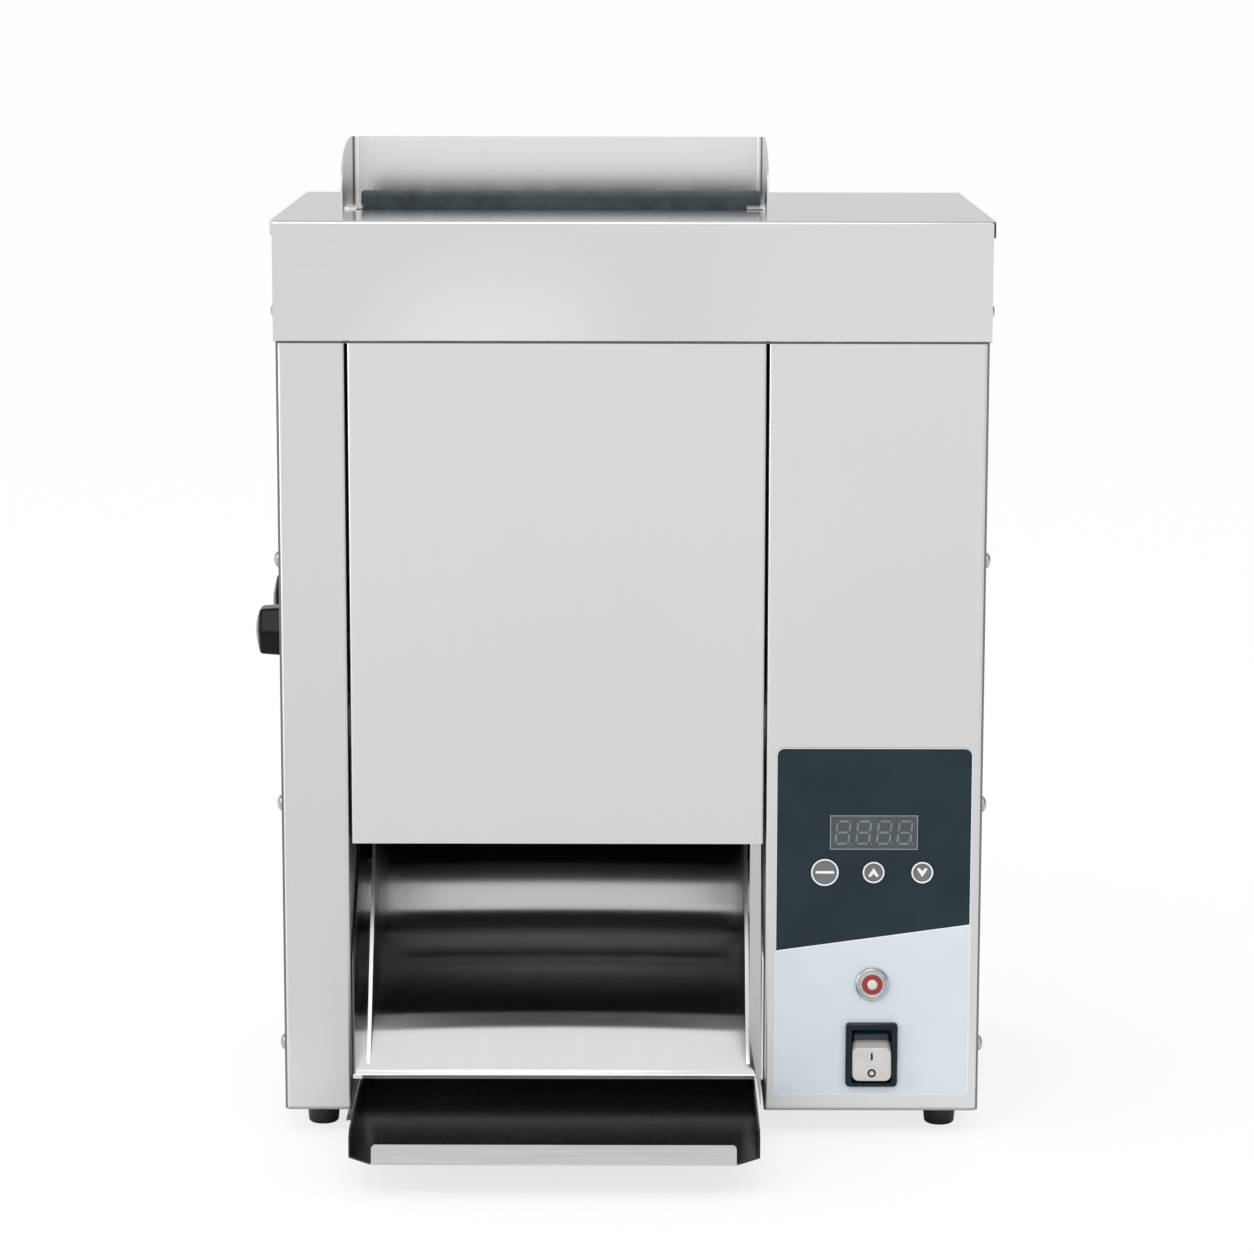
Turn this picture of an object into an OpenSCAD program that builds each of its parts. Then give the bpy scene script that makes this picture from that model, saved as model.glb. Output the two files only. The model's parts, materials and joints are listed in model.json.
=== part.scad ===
// Vertical contact toaster for burger buns, in millimetres, +Z up, front towards -Y.
// Bun halves drop in at the top on both sides of a heated upright platen. Two belts
// carry them down against it, and a curved chute delivers them to the landing tray.

/* [Body] */
// Depth from the columns' front faces to the back of the rear panel
body_d = 286; // [280:1:330]
// Height from the underside of the body to the top of the hood
body_h = 561; // [552:1:600]
// Thickness of the panel sheet
sheet = 1.2; // [1:0.1:1.5]
// Inside radius of the sheet bends
bend_r = 0.8; // [0.4:0.1:1.5]
// Width of the left column, from its outside to the channel
column_w = 42.2; // [38:0.1:60]
// Width of the control housing, from its outside to the channel
housing_w = 135.2; // [130:0.1:150]
// Gap on each side of the front cover
panel_gap = 1.5; // [1:0.1:3]
// Depth of the returns folded behind the column fronts
column_return = 30; // [24:1:36]
// Depth of the returns folded behind the front cover
cover_return = 18; // [12:1:18]
// Depth of the lip folded under the front cover's lower edge
cover_lip = 13.5; // [6:0.5:15]
// Height of the front cover's lower edge above the underside of the body
cover_lift = 172.4; // [160:0.1:180]
// How far the front cover and the rails stop below the hood's top
top_clear = 12; // [8:1:20]
// Setback of the side panels behind the column fronts
side_setback = 2; // [0.5:0.1:4]

/* [Hood and bun guard] */
// Height of the hood's front band
hood_h = 74; // [60:1:90]
// Height of the flange folded down behind the rear panel
hood_rear_h = 20; // [15:1:30]
// Chamfer along the lower edge of the hood's front band
hood_chamfer = 0.9; // [0.4:0.1:1]
// Height of the hems along the hood's sides
hem_h = 9; // [6:0.5:14]
// Thickness of the hems along the hood's sides
hem_t = 2.4; // [1.5:0.1:3]
// Clearance between the release sheet and the ends of the bun slot
slot_end_gap = 1; // [0.6:0.1:1.2]
// Depth of the bun slot behind the rear belt's face
slot_rear = 22; // [16:1:26]
// Height of the bun guard above the hood
guard_h = 41; // [30:1:60]
// Setback of the guard's wings behind the front edge of the slot
guard_setback = 10; // [4:1:20]
// Distance from the rear edge of the slot to the guard's back plate
guard_back = 8; // [5:1:14]
// Distance from the ends of the slot to the guard's wings
guard_side = 7; // [6:0.5:9]
// Shift of the guard's middle from the middle of the slot
guard_shift = -3.2; // [-4:0.1:4]
// Width of the feet folded in under the guard's wings
guard_foot_w = 14; // [12:0.5:16]
// Depth of the feet folded in under the guard's wings
guard_foot_d = 26; // [15:1:26]
// Straight height of the wings' front edges
guard_straight = 14; // [8:1:20]
// Length of the wings' top edges at the back plate
guard_top_flat = 20; // [10:1:30]

/* [Toasting channel] */
// Thickness of the platen
platen_t = 20; // [16:1:26]
// Gap from the platen's ends to the channel walls, bridged by its spacers
platen_gap = 5.3; // [4:0.1:9]
// Height of the platen's lower edge above the underside of the body
platen_lift = 234; // [228:1:245]
// Height of the platen above the hood
platen_rise = 9; // [4:0.5:14]
// Radius of the platen's top edges
platen_r = 2.5; // [1.5:0.5:8]
// Thickness of the release sheet
release_t = 0.6; // [0.4:0.1:1]
// Gap from the release sheet's edges to the channel walls
release_gap = 2.05; // [1.6:0.05:3]
// Gap for the bun's crown, in front of the platen
crown_gap = 40; // [34:0.5:46]
// Gap for the bun's heel, behind the platen
heel_gap = 24; // [20:0.5:30]
// Diameter of the cartridge heaters
heater_d = 10; // [8:0.5:12]
// Number of cartridge heaters
heater_count = 4; // [3:1:5]
// Distance of the outer heaters from the platen's top and bottom edges
heater_margin = 45; // [30:1:60]
// Diameter of the temperature probe
probe_d = 4; // [3:0.5:6]
// Length of the temperature probe inside the platen
probe_l = 70; // [40:1:100]

/* [Conveyors] */
// Depth of the front conveyor's axes behind the hood's face
front_axis_y = 77.2; // [72:0.1:80]
// Height of the drive rollers' axes above the underside of the body
drive_lift = 256; // [254:1:262]
// Distance of the idler rollers' axes below the hood's top
idler_drop = 29; // [28:1:36]
// Radius of the rollers
roller_r = 18; // [16:0.5:18]
// Thickness of the belts
belt_t = 2.5; // [2:0.1:3]
// Width of the belts
belt_w = 230; // [220:1:250]
// Gap from the belts' edges to the channel walls
belt_side = 15.3; // [14:0.1:20]
// Height of the belts' cross ribs
rib_h = 1.2; // [0.6:0.1:1.6]
// Width of the belts' cross ribs
rib_w = 3; // [2:0.5:4]
// Spacing of the belts' cross ribs
rib_pitch = 14; // [10:1:24]
// Radius of the roller shafts
shaft_r = 5; // [4:0.5:6]
// Outer radius of the shaft bushes
bush_r = 7.5; // [7:0.5:9]
// Length of the shaft bushes
bush_l = 8; // [6:0.5:9]
// Radius of the bushes' flanges
bush_flange_r = 11; // [10:0.5:13]
// Thickness of the bushes' flanges
bush_flange_t = 2; // [1.5:0.1:3]

/* [Drive] */
// Teeth on each transfer gear
gear_teeth = 28; // [28:4:28]
// Teeth on the motor pinion
pinion_teeth = 18; // [18:4:22]
// Face width of the gears
gear_w = 8; // [5:0.5:9]
// Gap from the shaft bushes' ends to the gears
gear_gap = 1.5; // [1:0.5:3]
// Radius of the idler gears' pins
gear_pin_r = 4; // [3:0.5:5]
// Radius of the motor's output shaft
motor_shaft_r = 4; // [3:0.5:5]
// Radius of the motor's can
motor_r = 24; // [20:1:28]
// Length of the motor's can
motor_l = 52; // [40:1:55]
// Width and height of the gearbox
gearbox_w = 62; // [54:1:66]
// Length of the gearbox along its shaft
gearbox_l = 26; // [20:1:30]

/* [Compression adjusters] */
// Height of the adjuster shafts above the underside of the body
adjust_lift = 294.5; // [290:0.5:298]
// Offset of the adjuster shafts towards the platen
adjust_offset = 3.2; // [1:0.1:3.4]
// Radius of the adjuster shafts
adjust_r = 3.5; // [3:0.5:4]
// Radius of the eccentric cams
cam_r = 7; // [6.5:0.5:7]
// Eccentricity of the cams
cam_e = 4.5; // [3:0.1:4.5]
// Width of the cams
cam_w = 4; // [3:0.5:5]
// Turn of the knobs each way
adjust_turn = 40; // [20:1:40]
// Thickness of the pressure plates
press_t = 2; // [1.5:0.1:2.2]
// Setback of the pressure plates' sides from the belt's edges
press_in = 4.5; // [3:0.5:10]
// Distance of the pressure plates' ends from the roller axes
press_end = 28; // [26:1:40]
// Distance of the pressure plates' ears outside the belt's edges
ear_side = 6; // [5:0.5:7]
// Height of the pressure plates' ears
ear_h = 34; // [31:1:40]
// Depth of the pressure plates' ears
ear_d = 29; // [28:0.5:30]
// Radius of the guide pins
guide_pin_r = 3; // [2:0.5:3.5]
// Reach of the knobs from the side panel
knob_h = 21.5; // [18:0.5:28]
// Diameter of the knobs at the panel
knob_d = 36; // [32:0.5:40]
// Width across the knobs' six flats
knob_flat = 31.5; // [29:0.5:33]
// Taper of the knobs' radius from the panel to the end
knob_taper = 1.6; // [0.5:0.1:3]
// Rise of the knobs' domed ends
knob_dome = 4; // [2:0.5:6]

/* [Chute and tray] */
// Setback of the chute's lip behind the hood's face
lip_back = 5; // [2:0.5:12]
// Height of the chute's lip above the underside of the body
lip_lift = 22; // [20:0.5:26]
// Depth of the chute from its lip to its top edge
chute_run = 194; // [180:1:196]
// Slope of the chute at its lip
lip_slope = 45.5; // [44:0.5:47]
// Slope of the chute at its top edge
top_slope = 31.5; // [30:0.5:34]
// Height of the lip folded down at the chute's end
lip_fold = 3; // [2:0.5:3]
// Side clearance of the chute in the channel
chute_gap = 0.6; // [0.4:0.1:1.2]
// Height of the chute's upturned sides, square to its slope
cheek_h = 54; // [40:1:56]
// Depth of the chute's upturned sides
cheek_run = 128; // [100:1:130]
// Gap from the chute's guide plates to the channel walls
guide_gap = 11.3; // [10:0.1:14]
// Height of the guide plates above the chute
guide_h = 26; // [18:1:30]
// Setback of the guide plates' lower corners behind the chute's lip
guide_back = 2; // [1:0.5:6]
// Depth of the guide plates' front edges
guide_run = 93; // [85:1:98]
// Height of the guide plates' front edges
guide_rise = 157; // [140:1:160]
// Distance of the rear chute spacers in front of the chute's top edge
spacer_back = 20; // [15:1:25]
// Distance from the front chute spacers to the rear ones
spacer_pitch = 36; // [20:1:38]
// Width of the hem along the guide plates' front edges
guide_hem = 5; // [3:0.5:8]
// Gap from the landing tray's sides to the channel walls
tray_gap = 5.9; // [4:0.1:8]
// Height of the tray's underside above the underside of the body
tray_lift = 4.5; // [3:0.1:6]
// Projection of the tray in front of the hood's face
tray_out = 130; // [100:1:160]
// Reach of the tray behind the hood's face
tray_in = 70; // [60:1:80]
// Height of the tray's side walls
tray_wall_h = 16.3; // [14:0.1:20]
// Chamfer of the tray's front corners
tray_chamfer = 14.6; // [8:0.1:20]
// Height of the tray's front lip
tray_lip_h = 12.7; // [8:0.1:16]
// Radius of the corners of the tray's front lip
tray_lip_r = 3; // [1:0.5:5]
// Radius of the pins that carry the tray
tray_pin_r = 2.5; // [2:0.1:3]
// Distance of the tray's pins behind the hood's face
tray_pin_y = 42; // [36:1:50]
// Radius of the spacers that carry the chute and the platen
spacer_r = 6; // [4:0.5:6]

/* [Controls] */
// Distance of the overlay's sides from the control housing's sides
overlay_side = 6.4; // [5:0.1:9]
// Height of the control overlay
overlay_h = 223.5; // [215:0.5:230]
// Height of the overlay's lower edge above the underside of the body
overlay_lift = 10.4; // [6:0.1:14]
// Thickness of the overlay
overlay_t = 0.6; // [0.4:0.1:1]
// Corner radius of the overlay
overlay_r = 5; // [2:0.5:8]
// Width of the display
display_w = 54.8; // [50:0.1:60]
// Height of the display
display_h = 21.8; // [18:0.1:24]
// Height of the display's centre above the underside of the body
display_lift = 180; // [176:0.5:184]
// Height of the keys' centres above the underside of the body
key_lift = 154.6; // [150:0.1:157]
// Spacing of the keys
key_pitch = 30.5; // [26:0.5:34]
// Diameter of the large key
key_large_d = 17.3; // [14:0.1:19]
// Diameter of the small keys
key_small_d = 13.7; // [12:0.1:16]
// Travel of the keys
key_travel = 0.5; // [0.3:0.1:0.8]
// Height of the lamp's centre above the underside of the body
lamp_lift = 82.4; // [78:0.1:90]
// Diameter of the lamp's bezel
lamp_d = 20.2; // [16:0.1:24]
// Diameter of the lamp's lens
lens_d = 15.4; // [10:0.1:15.8]
// Height of the switch's centre above the underside of the body
switch_lift = 36.7; // [34:0.1:42]
// Width of the switch's bezel
switch_w = 33; // [31:0.1:36]
// Height of the switch's bezel
switch_h = 41.6; // [40:0.1:45]
// Width of the bezel beside the rocker
switch_side = 4.3; // [4.1:0.1:6]
// Height of the rocker
rocker_h = 26; // [24:0.1:27]
// Corner radius of the rocker's face
rocker_r = 3; // [1:0.5:5]
// Swing of the rocker from one side to the other
rocker_turn = 16; // [10:1:18]
// Depth of the control board behind the hood's face
board_y = 14; // [12:0.5:20]
// Thickness of the control board
board_t = 1.6; // [1:0.1:2]
// Length of the relay along the channel wall
relay_l = 45; // [35:1:55]
// Height of the relay
relay_h = 58; // [45:1:65]
// Thickness of the relay
relay_t = 23; // [18:1:30]
// Distance of the relay's middle from the rear panel
relay_back = 70; // [55:1:90]
// Height of the relay's middle above the underside of the body
relay_lift = 90; // [70:1:110]

/* [Feet and fasteners] */
// Height of the feet
foot_h = 16; // [12:0.5:24]
// Diameter of the feet where they meet the body
foot_top_d = 22; // [18:0.5:26]
// Diameter of the feet on the table
foot_d = 19; // [15:0.5:24]
// Distance of the feet's centres from the sides
foot_side = 22; // [20:0.5:24]
// Distance of the feet's centres from the front and the back
foot_end = 30; // [20:1:50]
// Diameter of the panel screws' heads
screw_head_d = 9.7; // [7:0.1:11]
// Height of the panel screws' heads
screw_head_h = 3.6; // [2.5:0.1:4.5]
// Diameter of the panel screws' shanks
screw_d = 4; // [3:0.5:5]
// Distance of the panel screws from the front and back edges
screw_edge = 10; // [8:0.5:14]
// Height of the lowest side screws above the underside of the body
screw_low = 41; // [30:1:60]
// Distance of the highest side screws below the hood's top
screw_high = 56; // [40:1:70]
// Number of side screws in a row
screw_rows = 4; // [3:1:5]
// Radius of the bore of the cable gland
gland_bore_r = 4; // [3:0.5:5]
// Radius of the cable gland
gland_r = 9; // [8:0.5:12]

/* [Clearances] */
// Radial clearance of turning shafts in their bushes
run_clear = 0.05; // [0.02:0.01:0.1]
// Clearance between parts that move past each other
move_clear = 0.3; // [0.2:0.05:0.5]
// Clearance of screws and inserts in their holes
hole_clear = 0.15; // [0.05:0.05:0.3]

/* [Hidden] */
$fn = 64;

// Colours of the finishes
steel = "#CDCDCC";
dark_steel = "#9A9A98";
black = "#1B1C1D";
slate = "#37424B";
rubber = "#161616";
silver = "#C8C4BF";
zinc = "#AEB2B5";
brass = "#B08D4A";
red = "#A02C30";
green = "#1F5C3A";
silicone = "#7B4A37";

// Heights
base_z = foot_h;
top_z = base_z + body_h;
under_hood = top_z - sheet;
panel_top = under_hood - bend_r;
rail_top = top_z - top_clear;

// Depths, measured from the hood's front face
front_y = sheet;
back_y = front_y + body_d;
wall_back = back_y - sheet;

// Widths, measured from the middle of the body
chan_w = belt_w + 2 * belt_side;
side_x = (column_w + chan_w + housing_w) / 2;
inner_side = side_x - sheet;
chan_left = column_w - side_x;
chan_right = side_x - housing_w;
chan_x = (chan_left + chan_right) / 2;
panel_x = (chan_right + side_x) / 2;
platen_w = chan_w - 2 * platen_gap;
release_w = chan_w - 2 * release_gap;
guide_w = chan_w - 2 * guide_gap;
tray_w = chan_w - 2 * tray_gap;
press_w = belt_w - 2 * press_in;
overlay_w = housing_w - 2 * overlay_side;
rocker_w = switch_w - 2 * switch_side;

// The platen stands between the two belts
belt_r = roller_r + move_clear + belt_t;
front_face = front_axis_y + belt_r + rib_h;
platen_y = front_face + crown_gap + release_t;
platen_back = platen_y + platen_t;
rear_face = platen_back + release_t + heel_gap;
rear_axis_y = rear_face + rib_h + belt_r;
platen_z = base_z + platen_lift;
platen_top = top_z + platen_rise - release_t;
slot_w = release_w + 2 * slot_end_gap;
slot_back = rear_face + slot_rear;

// Heights of the conveyors
drive_z = base_z + drive_lift;
idler_z = top_z - idler_drop;
mid_z = (drive_z + idler_z) / 2;

// Gear train: four equal gears in a row join the two drive rollers
gear_r = (rear_axis_y - front_axis_y) / 6;
gear_module = 2 * gear_r / gear_teeth;
pinion_r = pinion_teeth * gear_module / 2;
pinion_z = drive_z - gear_r - pinion_r;
gear_x = chan_right + bush_l + gear_gap;
motor_x = gear_x + gear_w + gear_gap;
gear_backlash = 0.08;
pressure_angle = 20;

// Adjusters and pressure plates
adjust_z = base_z + adjust_lift;
cam_swing = cam_e * sin(adjust_turn);
ear_x = belt_w / 2 + ear_side;
press_h = idler_z - drive_z - 2 * press_end;
press_gap = move_clear + cam_swing;
guide_pin_z = mid_z + press_h / 2 - ear_h / 2;
adjust_bush_r = adjust_r + 3;
front_adjust_y = front_axis_y + adjust_offset;
rear_adjust_y = rear_axis_y - adjust_offset;

// Chute: one arc in the side view, that bends down from its top edge to its lip
lip_z = base_z + lip_lift;
chute_r = chute_run / (sin(lip_slope) - sin(top_slope));
chute_cy = lip_back + chute_r * sin(lip_slope);
chute_cz = lip_z - chute_r * cos(lip_slope);
chute_top_y = lip_back + chute_run;
chute_w = chan_w - 2 * chute_gap;
tray_z = base_z + tray_lift;
lip_under = lip_z - lip_fold - 1;
tray_pin_z = (tray_z + sheet + lip_under) / 2;

// Controls stand on the housing's front face
overlay_y = front_y - overlay_t;
overlay_z = base_z + overlay_lift + overlay_h / 2;
display_z = base_z + display_lift;
key_z = base_z + key_lift;
lamp_z = base_z + lamp_lift;
switch_z = base_z + switch_lift;
well_w = rocker_w + 2 * move_clear;
well_h = switch_h - 6;
well_d = 13;
switch_rim = 3.2;
switch_back_w = switch_w - 5;
switch_back_h = switch_h - 4;
rocker_z = switch_z - (well_h - rocker_h) / 2 + 2.5;
rocker_y = front_y + 1.5;
rocker_pin_r = 1.5;
rocker_pin_l = 1.2;
lamp_barrel_r = lens_d / 2;

// Rear panel furniture
gland_x = panel_x;
gland_z = base_z + 45;
gland_l = 12;
vent_w = 44;
vent_h = 4;
vent_pitch = 12;
vent_rows = 9;

// The origin lies on the table under the middle of the outline
left_reach = side_x + knob_h;
right_reach = side_x + max(screw_head_h, hem_t);
back_reach = back_y + max(gland_l, screw_head_h);
origin_x = (left_reach - right_reach) / 2;
origin_y = (tray_out - back_reach) / 2;

// Moves a piece from the body's own datum to the part's frame
module in_frame() translate([origin_x, origin_y, 0]) children();

// A box between two corners
module span(a, b) translate(a) cube(b - a);

// A cylinder along X from x0 to x1 about the axis at (y, z)
module rod(x0, x1, y, z, r) translate([x0, y, z]) rotate([0, 90, 0]) cylinder(r = r, h = x1 - x0);

// A cylinder along Y from y0 to y1 about the axis at (x, z)
module post(x, z, y0, y1, r) translate([x, y1, z]) rotate([90, 0, 0]) cylinder(r = r, h = y1 - y0);

// A side view in (y, z) carried along X from x0 to x1
module carry_x(x0, x1) translate([x0, 0, 0]) rotate([90, 0, 90]) linear_extrude(x1 - x0) children();

// A front view in (x, z) carried along Y from y0 to y1
module carry_y(y0, y1) translate([0, y1, 0]) rotate([90, 0, 0]) linear_extrude(y1 - y0) children();

// A rectangle about its centre with round corners
module round_rect(w, h, r) {
    square([w, h - 2 * r], center = true);
    square([w - 2 * r, h], center = true);
    for (x = [-1, 1], z = [-1, 1])
        translate([x * (w / 2 - r), z * (h / 2 - r)]) circle(r);
}

// Sheet metal: a path along the outside of the folds, with round bends, and its thickness
function unit(v) = v / norm(v);
function left_of(a, b) = let (d = unit(b - a)) [-d[1], d[0]];
function bend(a, b, c, r) =
    let (u = unit(a - b), v = unit(c - b), half = acos(u * v) / 2, reach = r / tan(half),
         middle = b + unit(u + v) * r / sin(half), from = b + u * reach, to = b + v * reach,
         a0 = atan2(from[1] - middle[1], from[0] - middle[0]),
         turn = atan2(to[1] - middle[1], to[0] - middle[0]) - a0,
         sweep = turn > 180 ? turn - 360 : turn < -180 ? turn + 360 : turn)
    [for (i = [0:6]) middle + r * [cos(a0 + sweep * i / 6), sin(a0 + sweep * i / 6)]];
function bent(path, r) = let (n = len(path)) [
    path[0],
    for (i = [1:n - 2]) each bend(path[i - 1], path[i], path[i + 1], r),
    path[n - 1]
];
function inward(path, i, t) =
    let (n = len(path),
         a = left_of(path[max(i - 1, 0)], path[max(i, 1)]),
         b = left_of(path[min(i, n - 2)], path[min(i + 1, n - 1)]))
    path[i] + t * (a + b) / (1 + a * b);
function sheet_outline(path, t, r) =
    let (p = bent(path, r + t), n = len(p))
    concat(p, [for (i = [n - 1:-1:0]) inward(p, i, t)]);
module folded(path, t = sheet, r = bend_r) polygon(sheet_outline(path, t, r));

// Screws
module pan_head(r, h) {
    rotate_extrude() {
        square([r, h * 0.45]);
        intersection() {
            square([r, h]);
            translate([0, h - (r * r + h * h * 0.3) / (1.1 * h)]) circle((r * r + h * h * 0.3) / (1.1 * h));
        }
    }
}
module screw(grip) {
    pan_head(screw_head_d / 2, screw_head_h);
    translate([0, 0, -grip]) cylinder(d = screw_d, h = grip + screw_head_h / 3);
}
function side_screw_z(i) =
    let (low = base_z + screw_low, high = top_z - screw_high) low + (high - low) * i / (screw_rows - 1);
module at_side_screws(side) {
    for (i = [0:screw_rows - 1], y = [front_y + side_setback + screw_edge, back_y - screw_edge])
        translate([side * side_x, y, side_screw_z(i)]) rotate([0, side * 90, 0]) children();
}
module side_screw_holes(side)
    at_side_screws(side) translate([0, 0, -4 * sheet]) cylinder(d = screw_d + 2 * hole_clear, h = 8 * sheet);
module at_rear_screws() {
    for (x = [-1, 1], p = [[back_y + sheet, top_z - hood_rear_h / 2], [back_y, base_z + screw_low]])
        translate([x * (side_x - 3 * screw_edge), p[0], p[1]]) rotate([-90, 0, 0]) children();
}

// Holes that the two channel walls share, along X
module wall_holes() {
    x0 = chan_left - 2 * sheet;
    x1 = chan_right + 2 * sheet;
    for (y = [front_axis_y, rear_axis_y], z = [drive_z, idler_z]) rod(x0, x1, y, z, bush_r + run_clear);
    for (y = [front_adjust_y, rear_adjust_y]) rod(x0, x1, y, adjust_z, adjust_bush_r + run_clear);
}

// Body panels
module base_pan(x0, x1) {
    lip = 12;
    difference() {
        translate([0, front_y + sheet, base_z]) rotate([-90, 0, 0])
            linear_extrude(wall_back - front_y - sheet)
                mirror([0, 1]) folded([[x0, lip], [x0, 0], [x1, 0], [x1, lip]]);
        for (y = [front_y + foot_end, back_y - foot_end])
            translate([sign(x0) * (side_x - foot_side), y, base_z - 1])
                cylinder(d = screw_d + 2 * hole_clear, h = 3 * sheet);
    }
}
module left_base() color(steel) in_frame() base_pan(sheet - inner_side, chan_left - sheet);
module right_base() color(steel) in_frame() base_pan(chan_right + sheet, inner_side - sheet);

module left_column() color(steel) in_frame() difference() {
    translate([0, 0, base_z]) linear_extrude(panel_top - base_z)
        folded([[-inner_side, front_y + column_return], [-inner_side, front_y],
                [chan_left, front_y], [chan_left, wall_back]]);
    wall_holes();
    side_screw_holes(-1);
}

module control_housing() color(steel) in_frame() difference() {
    translate([0, 0, base_z]) linear_extrude(panel_top - base_z)
        folded([[chan_right, wall_back], [chan_right, front_y],
                [inner_side, front_y], [inner_side, front_y + column_return]]);
    wall_holes();
    side_screw_holes(1);
    panel_cuts(front_y - 1, front_y + sheet + 1);
}

// The openings through the control panel
module panel_cuts(y0, y1) {
    carry_y(y0, y1) {
        translate([panel_x, display_z]) square([display_w, display_h] + 2 * hole_clear * [1, 1], center = true);
        translate([panel_x, switch_z]) square([switch_back_w, switch_back_h] + 2 * hole_clear * [1, 1], center = true);
        translate([panel_x, lamp_z]) circle(lamp_barrel_r + hole_clear);
        for (i = [-1:1]) translate([panel_x + i * key_pitch, key_z]) circle(key_d(i) / 2 + move_clear);
    }
}
function key_d(i) = i < 0 ? key_large_d : key_small_d;

module side_panel(side) difference() {
    span([side * side_x - (side > 0 ? sheet : 0), front_y + side_setback, base_z],
         [side * side_x + (side > 0 ? 0 : sheet), back_y, under_hood]);
    side_screw_holes(side);
}
module left_side_panel() color(steel) in_frame() difference() {
    side_panel(-1);
    for (y = [front_adjust_y, rear_adjust_y]) rod(-side_x - 1, 2 * sheet - side_x, y, adjust_z, adjust_bush_r + run_clear);
}
module right_side_panel() color(steel) in_frame() side_panel(1);

module rear_panel() color(steel) in_frame() difference() {
    reach = 2 * screw_edge;
    translate([0, 0, base_z]) linear_extrude(panel_top - base_z)
        folded([[inner_side, back_y - reach], [inner_side, back_y],
                [-inner_side, back_y], [-inner_side, back_y - reach]]);
    for (side = [-1, 1]) side_screw_holes(side);
    at_rear_screws() translate([0, 0, -4 * sheet]) cylinder(d = screw_d + 2 * hole_clear, h = 8 * sheet);
    post(gland_x, gland_z, wall_back - 1, back_y + 1, gland_r - 2 + hole_clear);
    carry_y(wall_back - 1, back_y + 1) {
        for (i = [0:vent_rows - 1], x = [-0.5, 0.5])
            translate([panel_x + x * (vent_w + vent_pitch), mid_z + (i - vent_rows / 2) * vent_pitch])
                round_rect(vent_w, vent_h, vent_h / 2 - 0.01);
    }
}

module hood() color(steel) in_frame() difference() {
    outer = side_x + sheet;
    rear = back_y + sheet;
    union() {
        carry_x(-outer, outer)
            folded([[rear, top_z - hood_rear_h], [rear, top_z], [0, top_z], [0, top_z - hood_h]]);
        for (side = [-1, 1])
            span([side > 0 ? side_x : -side_x - hem_t, front_y, top_z - hem_h],
                 [side > 0 ? side_x + hem_t : -side_x, rear, top_z]);
    }
    span([chan_x - slot_w / 2, front_face, top_z - 2 * sheet], [chan_x + slot_w / 2, slot_back, top_z + 1]);
    carry_x(-outer - 1, outer + 1) translate([0, top_z - hood_h])
        polygon([[-1, -1], [hood_chamfer, -1], [hood_chamfer, 0], [0, hood_chamfer], [-1, hood_chamfer]]);
    at_rear_screws() translate([0, 0, -4 * sheet]) cylinder(d = screw_d + 2 * hole_clear, h = 8 * sheet);
}

module front_cover() color(steel) in_frame() {
    x0 = chan_left + panel_gap;
    x1 = chan_right - panel_gap;
    z0 = base_z + cover_lift;
    translate([0, 0, z0]) linear_extrude(rail_top - z0)
        folded([[x0, front_y + cover_return], [x0, front_y], [x1, front_y], [x1, front_y + cover_return]]);
    span([x0 + sheet, front_y + sheet, z0], [x1 - sheet, front_y + cover_lip, z0 + sheet]);
}

// Angle bars between the channel walls: behind the front cover, behind the rear belt, under the chute's top
module cross_rails() color(dark_steel) in_frame() {
    leg = 20;
    rail_t = 2;
    chute_under = chute_z(chute_top_y, chute_r - sheet);
    for (p = [[front_y + cover_return, rail_top], [wall_back - leg - sheet, rail_top], [chute_top_y, chute_under - 1]])
        carry_x(chan_left, chan_right)
            folded([p + [0, -leg], p, p + [leg, 0]], -rail_t, bend_r + 2 * rail_t);
}

module foot() {
    rotate_extrude() difference() {
        polygon([[0, 0], [foot_d / 2 - 1, 0], [foot_d / 2, 1], [foot_top_d / 2, foot_h], [0, foot_h]]);
        square([3, 4]);
    }
    translate([0, 0, foot_h - 1]) cylinder(d = screw_d, h = 3 * sheet);
}
module feet() color(rubber) in_frame() {
    for (x = [-1, 1], y = [front_y + foot_end, back_y - foot_end])
        translate([x * (side_x - foot_side), y, 0]) foot();
}

module side_screws() color(zinc) in_frame() {
    for (side = [-1, 1]) at_side_screws(side) screw(3 * sheet);
}
module rear_screws() color(zinc) in_frame() at_rear_screws() screw(3 * sheet);

// Bun guard
guard_front = front_face + guard_setback;
guard_rear = slot_back + guard_back;
guard_wing = slot_w / 2 + guard_side;
guard_x = chan_x + guard_shift;
module wing_side() {
    top = top_z + guard_h;
    curve_y = guard_rear - guard_top_flat;
    curve_z = top_z + guard_straight;
    polygon(concat(
        [[guard_rear, top_z], [guard_rear, top]],
        [for (a = [90:9:180]) [curve_y + (curve_y - guard_front) * cos(a), curve_z + (top - curve_z) * sin(a)]],
        [[guard_front, top_z]]
    ));
}
module bun_guard() color(steel) in_frame() {
    for (side = [-1, 1]) {
        foot_x = guard_x + side * guard_wing - (side > 0 ? guard_foot_w : 0);
        span([foot_x, guard_front, top_z], [foot_x + guard_foot_w, guard_front + guard_foot_d, top_z + sheet]);
    }
    intersection() {
        translate([guard_x, 0, top_z]) linear_extrude(guard_h)
            folded([[guard_wing, guard_front], [guard_wing, guard_rear],
                    [-guard_wing, guard_rear], [-guard_wing, guard_front]]);
        carry_x(guard_x - guard_wing - 1, guard_x + guard_wing + 1) wing_side();
    }
}

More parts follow.
